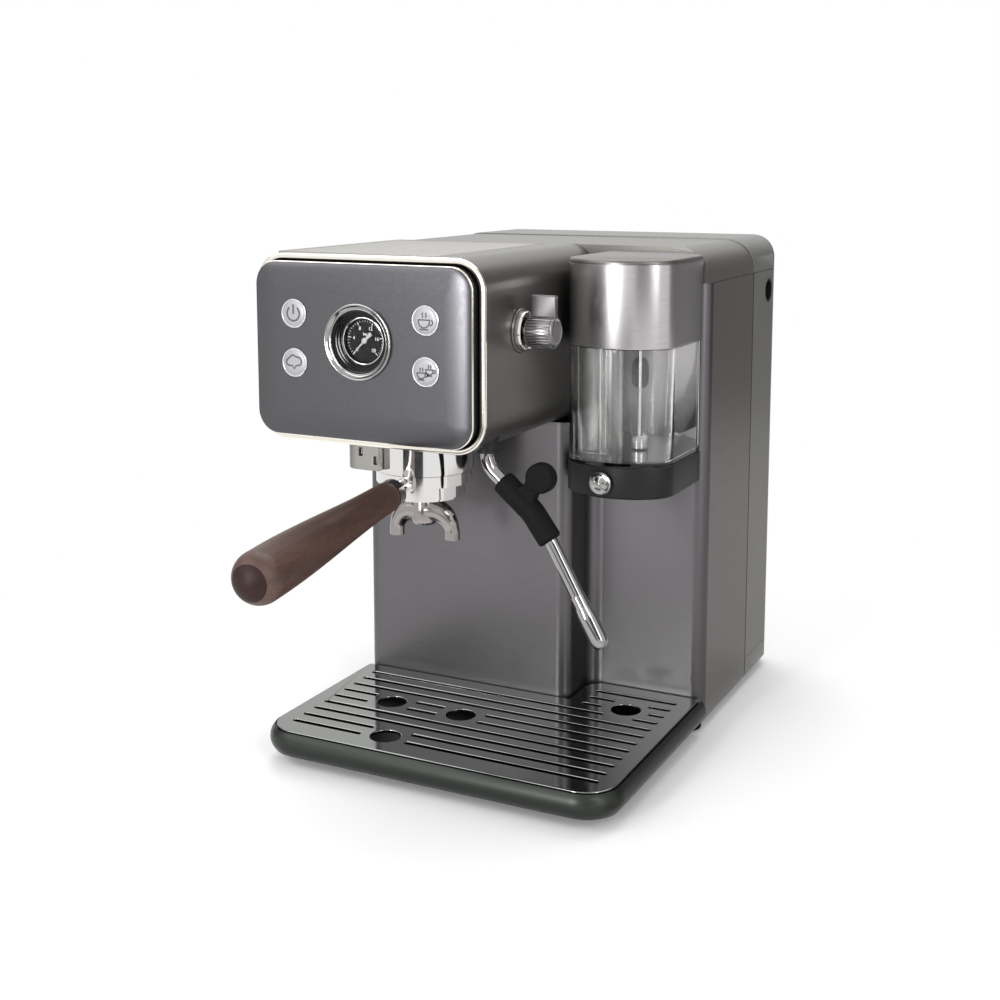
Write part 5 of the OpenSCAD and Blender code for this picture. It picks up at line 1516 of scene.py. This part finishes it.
@dataclass
class MilkModule:
    """The milk jug: black base with its dial, clear vessel and brushed lid."""

    x: float = 81.5
    width: float = 72.4
    front: float = -41.0
    back: float = 38.7
    corner: float = 22.0
    back_r: float = 4.0
    bow_r: float = 44.7
    base: Pair = (178.5, 198.8)
    track: tuple[float, float, float, float] = (64.2, 98.8, 12.7, 41.0)
    track_z: Pair = (2.7, 10.3)
    lid: Pair = (274.0, 330.0)
    lid_cap: float = 3.0
    lid_dome: Flat = ((5.0, 0.5), (10.0, 1.1), (18.0, 1.5))
    wall: float = 2.2
    gap: float = 0.3
    column: Point = (-29.0, 1.0, 6.0)  # left end, right end and corner, from the jug's middle
    column_y: Pair = (17.0, 30.0)
    column_wall: float = 1.8
    bores: Flat = ((-27.2, -12.0), (-10.0, -0.8))
    bore_r: float = 4.2
    froth: Point = (78.5, -41.0, 188.65)
    froth_r: float = 7.5

    def plan(self, inset: float) -> Flat:
        """Returns the D-shaped plan at an inset: flat back, round corners and a bowed front.

        Args:
            inset: Distance inside the outline.

        Returns:
            Points, anticlockwise.
        """
        half = self.width / 2 - self.corner
        big, small, big_y = self.bow_r - inset, self.corner - inset, self.front + self.bow_r
        small_y = big_y - math.sqrt((self.bow_r - self.corner) ** 2 - half**2)
        lean = math.degrees(math.atan2(half, big_y - small_y))
        points = arc(self.x - half, small_y, small, 180, 270 - lean, 14)
        points += arc(self.x, big_y, big, 270 - lean, 270 + lean, 16)[1:-1]
        points += arc(self.x + half, small_y, small, 270 + lean, 360, 14)
        back, side, r = self.back - inset, self.width / 2 - inset, max(self.back_r - inset, 0.5)
        points += arc(self.x + side - r, back - r, r, 0, 90, 6)
        return points + arc(self.x - side + r, back - r, r, 90, 180, 6)

    def build(self) -> None:
        """Builds the jug's pieces."""
        self.build_lid()
        self.build_base()
        self.build_vessel()
        self.build_column()
        self.build_dial()
        dress_nodes(Finishes.BLACK, "milk_dock", "milk_port")

    def build_lid(self) -> None:
        """Builds the tall lid with its domed cap and the seam between them."""
        low, high = self.lid
        seam = high - self.lid_cap
        band = [(i, low + d) for i, d in reversed(fillet(0.8))]
        band += [(0.0, seam - 0.7), (0.7, seam - 0.7), (0.7, seam)]
        cap = [(0.7, seam), (0.0, seam)] + [(i, high - d) for i, d in fillet(2.0)]
        cap += [(i, high + rise) for i, rise in self.lid_dome]
        for name, finish, levels, nodes in (
            ("milk_lid_brushed", Finishes.LID_STEEL, band, ("milk_lid",)),
            ("milk_lid_cap", Finishes.BODY_COAT, cap, ()),
        ):
            show(Shape().stack(self.plan, levels).object(name), finish, "milk_lid", *nodes)

    def build_base(self) -> None:
        """Builds the moulded base with its open track for the dock."""
        (low, high), (x0, x1, y0, y1) = self.base, self.track
        base = Shape().slab(self.plan, low, high, 0.8, 1.4).object("milk_base_moulded")
        track = Shape().prism(((x0, y0), (x1, y0), (x1, y1), (x0, y1)), *(low + z for z in self.track_z))
        show(cut(base, track), Finishes.BLACK, "milk_jug", "milk_base")

    def build_vessel(self) -> None:
        """Builds the clear vessel."""
        low, high, t = self.base[1] + self.gap, self.lid[0] - self.gap, self.wall
        levels = [(1.2, low), (0.6, low + 0.8), (0.6, high)]
        levels += [(0.6 + t, high), (0.6 + t, low + t + 2), (1.4 + t, low + t)]
        vessel = Shape().stack(self.plan, levels).object("milk_vessel_clear")
        show(vessel, Finishes.CLEAR, "milk_jug", "milk_jug")

    def build_column(self) -> None:
        """Builds the column in the vessel with its two bores, and the pickup beside it."""
        low, high, plan = self.base[1] + self.gap, self.lid[0] - self.gap, self.column_plan
        foot, lip = low + self.wall + 0.35, high - 0.05
        walls = Shape().slab(lambda inset: plan(*self.column, inset), foot, lip, 1.2, 0.0)
        bores = Shape()
        for x0, x1 in self.bores:
            bores.prism(plan(x0, x1, self.bore_r, 0.0, self.column_wall), low, high - 2)
        show(cut(walls.object("column"), bores), Finishes.FROSTED, "milk_lid", "milk_tube")
        pick = Shape(Matrix.Translation((self.x + 6, self.front + 42, 0)))
        base = [(0, low + 2.6), (5.2, low + 2.6), (6, low + 3.4), (6, low + 11), (5.2, low + 12)]
        pick.lathe([*base, (1.2, low + 12.4), (1.2, high), (0, high)], 48)
        show(pick.object("milk_pickup"), Finishes.STEEL, "milk_lid")

    def column_plan(self, x0: float, x1: float, r: float, inset: float, in_y: float = 0.0) -> Flat:
        """Returns the plan of the clear column, or of a bore in it.

        Args:
            x0: Left end from the jug's middle.
            x1: Right end from the jug's middle.
            r: Corner radius.
            inset: Distance inside the outline.
            in_y: Wall in front and behind.

        Returns:
            Points, anticlockwise.
        """
        y0, y1 = self.front + self.column_y[0] + in_y, self.front + self.column_y[1] - in_y
        return rounded_rect(self.x + x0 + inset, self.x + x1 - inset, y0 + inset, y1 - inset, r - inset, 8)

    def build_dial(self) -> None:
        """Builds the froth dial with its knurl."""
        place, r = facing(*self.froth), self.froth_r
        profile = [(0, -6.5), (3, -6.5), (3, 0.3), (r - 0.9, 0.3), (r - 0.2, 0.9), (r - 0.2, 3.6)]
        profile += [(r - 1.0, 4.4), (r - 2.0, 4.5), (r - 3.0, 4.7), (3.0, 5.6), (1.6, 6.3), (0, 6.5)]
        dial = Shape(place).lathe(profile, 72).object("dial")
        knurl = Ring(36, r - 0.25, (0.5, 0.6, 2.4), height=2.25).object("knurl", place, Finishes.CHROME, 0.12)
        # The dial's darker chrome is painted dark reflections
        show(joined("froth_dial_knurled", [dial, knurl]), Finishes.BEZEL_CHROME, "froth_dial", "froth_dial")


@dataclass
class Cabinet:
    """The body: panels, covers, base, drip tray, water tank and what is inside."""

    lid_soft: float = 0.5
    grate_soft: float = 0.6

    def build(self) -> None:
        """Dresses the body's solids and softens the ones whose edges show."""
        dress_nodes(Finishes.BODY_COAT, "side_panel_left", "side_panel_right", "top_cover")
        dress_nodes(Finishes.FRONT_STEEL, "front_panel")
        dress_nodes(Finishes.BLACK, "dock_wall", "tank_seat", "cord_gland", "tank_grips")
        dress_nodes(Finishes.BLACK, "pump_mounts", "pump")
        dress_nodes(Finishes.TANK_SHELL, "plinth", "water_tank")
        dress_nodes(Finishes.PLATED_STEEL, "base_plate", "chassis")
        dress_nodes(Finishes.RUBBER, "feet")
        dress_nodes(Finishes.CAST, "thermoblock")
        dress_nodes(Finishes.HOSE, "water_pipes")
        dress_nodes(Finishes.TRAY_COAT, "drip_tray")
        lid = softened_node("tank_lid", "tank_lid_soft", self.lid_soft)
        show(lid, Finishes.TANK_SHELL, "tank_lid", "tank_lid")
        # The ends of the slots are short edges, which would narrow a clamped rounding to nothing
        grate = softened_node("grate", "grate_polished", self.grate_soft, 3, False)
        show(grate, Finishes.MIRROR_GRATE, "grate", "grate")


# ---- Studio ----


@dataclass
class Studio:
    """The camera, the lamps, the cards and the pale floor, in metres."""

    eye: Point = (0.4152, -0.8281, 0.3893)
    pitch_deg: float = 7.84
    yaw_deg: float = 26.43
    lens: float = 51.38
    shift_y: float = -0.14
    aim: Point = (0.0, 0.0, 0.18)
    ambient: float = 0.6
    floor_half: float = 9000.0  # millimetres, as Shape takes it
    floor_fade: Pair = (0.22, 0.55)

    def build(self) -> None:
        """Builds the studio."""
        self.build_camera()
        self.build_world()
        self.build_floor()
        self.build_lamp("key", (-1.1, -1.5, 1.6), (1.6, 1.4), 16)
        self.build_lamp("side", (1.45, -0.95, 0.8), (0.6, 1.4), 12)
        self.build_lamp("strip", (-0.26, -1.6, 0.40), (0.24, 0.7), 15)
        self.build_lamp("top", (-0.2, 0.8, 1.8), (1.8, 1.2), 17)
        for name, shade, corner, along, up in (
            ("card_low", "#2e2d2d", (-0.32, -0.84, 0.0), (0.68, 0.04, 0.0), (0.0, 0.0, 0.09)),
            ("card_front", "#6e6c6c", (0.46, -0.82, 0.14), (0.44, 0.20, 0.0), (0.0, 0.0, 0.46)),
            ("card_right", "#6c6b6a", (1.35, 0.45, 0.0), (-1.09, 0.85, 0.0), (0.0, 0.0, 1.3)),
            ("card_left", "#4a4a4a", (-1.05, 0.10, 0.0), (0.10, -0.32, 0.0), (0.0, 0.0, 0.8)),
            ("card_floor", "#c6c5c4", (0.13, -0.10, 0.004), (0.72, 0.0, 0.0), (0.0, 1.2, 0.0)),
        ):
            self.build_card(name, shade, Vector(corner), Vector(along), Vector(up))
        bpy.context.scene.view_settings.view_transform = "Standard"

    def build_camera(self) -> None:
        """Builds the camera."""
        data = bpy.data.cameras.new("camera")
        data.lens, data.sensor_width, data.shift_y = self.lens, 36.0, self.shift_y
        camera = link(bpy.data.objects.new("camera", data))
        camera.location = self.eye
        camera.rotation_euler = (math.radians(90 - self.pitch_deg), 0, math.radians(self.yaw_deg))
        bpy.context.scene.camera = camera

    def build_world(self) -> None:
        """Builds a world that is white where it is seen and mild where it lights."""
        world = bpy.data.worlds.new("studio")
        bpy.context.scene.world = world
        world.use_nodes = True
        tree = world.node_tree
        inputs = {"Value": seen_plainly(tree), "To Min": self.ambient, "To Max": 1.0}
        strength = add_node(tree, "ShaderNodeMapRange", inputs).outputs["Result"]
        tree.links.new(strength, tree.nodes["Background"].inputs["Strength"])
        tree.nodes["Background"].inputs["Color"].default_value = (1, 1, 1, 1)

    def build_floor(self) -> None:
        """Builds the floor, which fades to plain white away from the machine."""
        shape, h = Shape(Matrix.Translation((0, -FRONT_SHIFT, -0.05))), self.floor_half
        shape.points = [shape.place @ Vector(p) for p in ((-h, -h, 0), (h, -h, 0), (h, h, 0), (-h, h, 0))]
        shape.faces = [[0, 1, 2, 3]]
        floor = shape.object("floor")
        paper = Surface("floor_pale_paper", "#fbfbfb")
        paper.set("Roughness", 0.9)
        tree = paper.tree
        far = add_node(tree, "ShaderNodeVectorMath", {0: paper.coords}, operation="LENGTH").outputs["Value"]
        inputs = {"Value": far, "From Min": self.floor_fade[0], "From Max": self.floor_fade[1]}
        fade = add_node(tree, "ShaderNodeMapRange", inputs, interpolation_type="SMOOTHSTEP").outputs["Result"]
        white = add_node(tree, "ShaderNodeEmission", {"Color": (1, 1, 1, 1), "Strength": 1.0}).outputs[0]
        paper.mix_with(calc(tree, "MULTIPLY", fade, seen_plainly(tree)), white)
        floor.data.materials.append(paper.material)

    def build_lamp(self, name: str, spot: Point, size: Pair, power: float) -> None:
        """Builds a soft box that faces the machine.

        Args:
            name: Name of the lamp.
            spot: Its place.
            size: Width and height.
            power: Power in watts.
        """
        data = bpy.data.lights.new(name, "AREA")
        data.shape, data.size, data.size_y, data.energy = "RECTANGLE", size[0], size[1], power
        lamp = link(bpy.data.objects.new(name, data))
        lamp.location = spot
        lamp.rotation_euler = (Vector(self.aim) - Vector(spot)).to_track_quat("-Z", "Y").to_euler()

    def build_card(self, name: str, shade: str, corner: Vector, along: Vector, up: Vector) -> None:
        """Builds a grey card that only mirrors in the metal, as a studio's cards do.

        Args:
            name: Name of the card.
            shade: Its colour.
            corner: Its first corner.
            along: From there to its second corner.
            up: From its first corner to its last.
        """
        cloth = Surface(name + "_cloth", shade)
        cloth.set("Roughness", 1.0)
        mesh = bpy.data.meshes.new(name)
        mesh.from_pydata([corner, corner + along, corner + along + up, corner + up], [], [[0, 1, 2, 3]])
        mesh.materials.append(cloth.material)
        card = link(bpy.data.objects.new(name, mesh))
        card.visible_camera = card.visible_diffuse = card.visible_shadow = card.visible_transmission = False


def main() -> None:
    """Builds the studio and each sub-assembly in order."""
    logging.basicConfig(level=logging.INFO, format="%(name)s: %(message)s")
    for kind in (Studio, BrewHead, PressureGauge, SteamControl, SteamWand, Group, MilkModule, Cabinet):
        LOG.info("building %s", kind.__name__)
        kind().build()


if __name__ == "__main__":
    main()
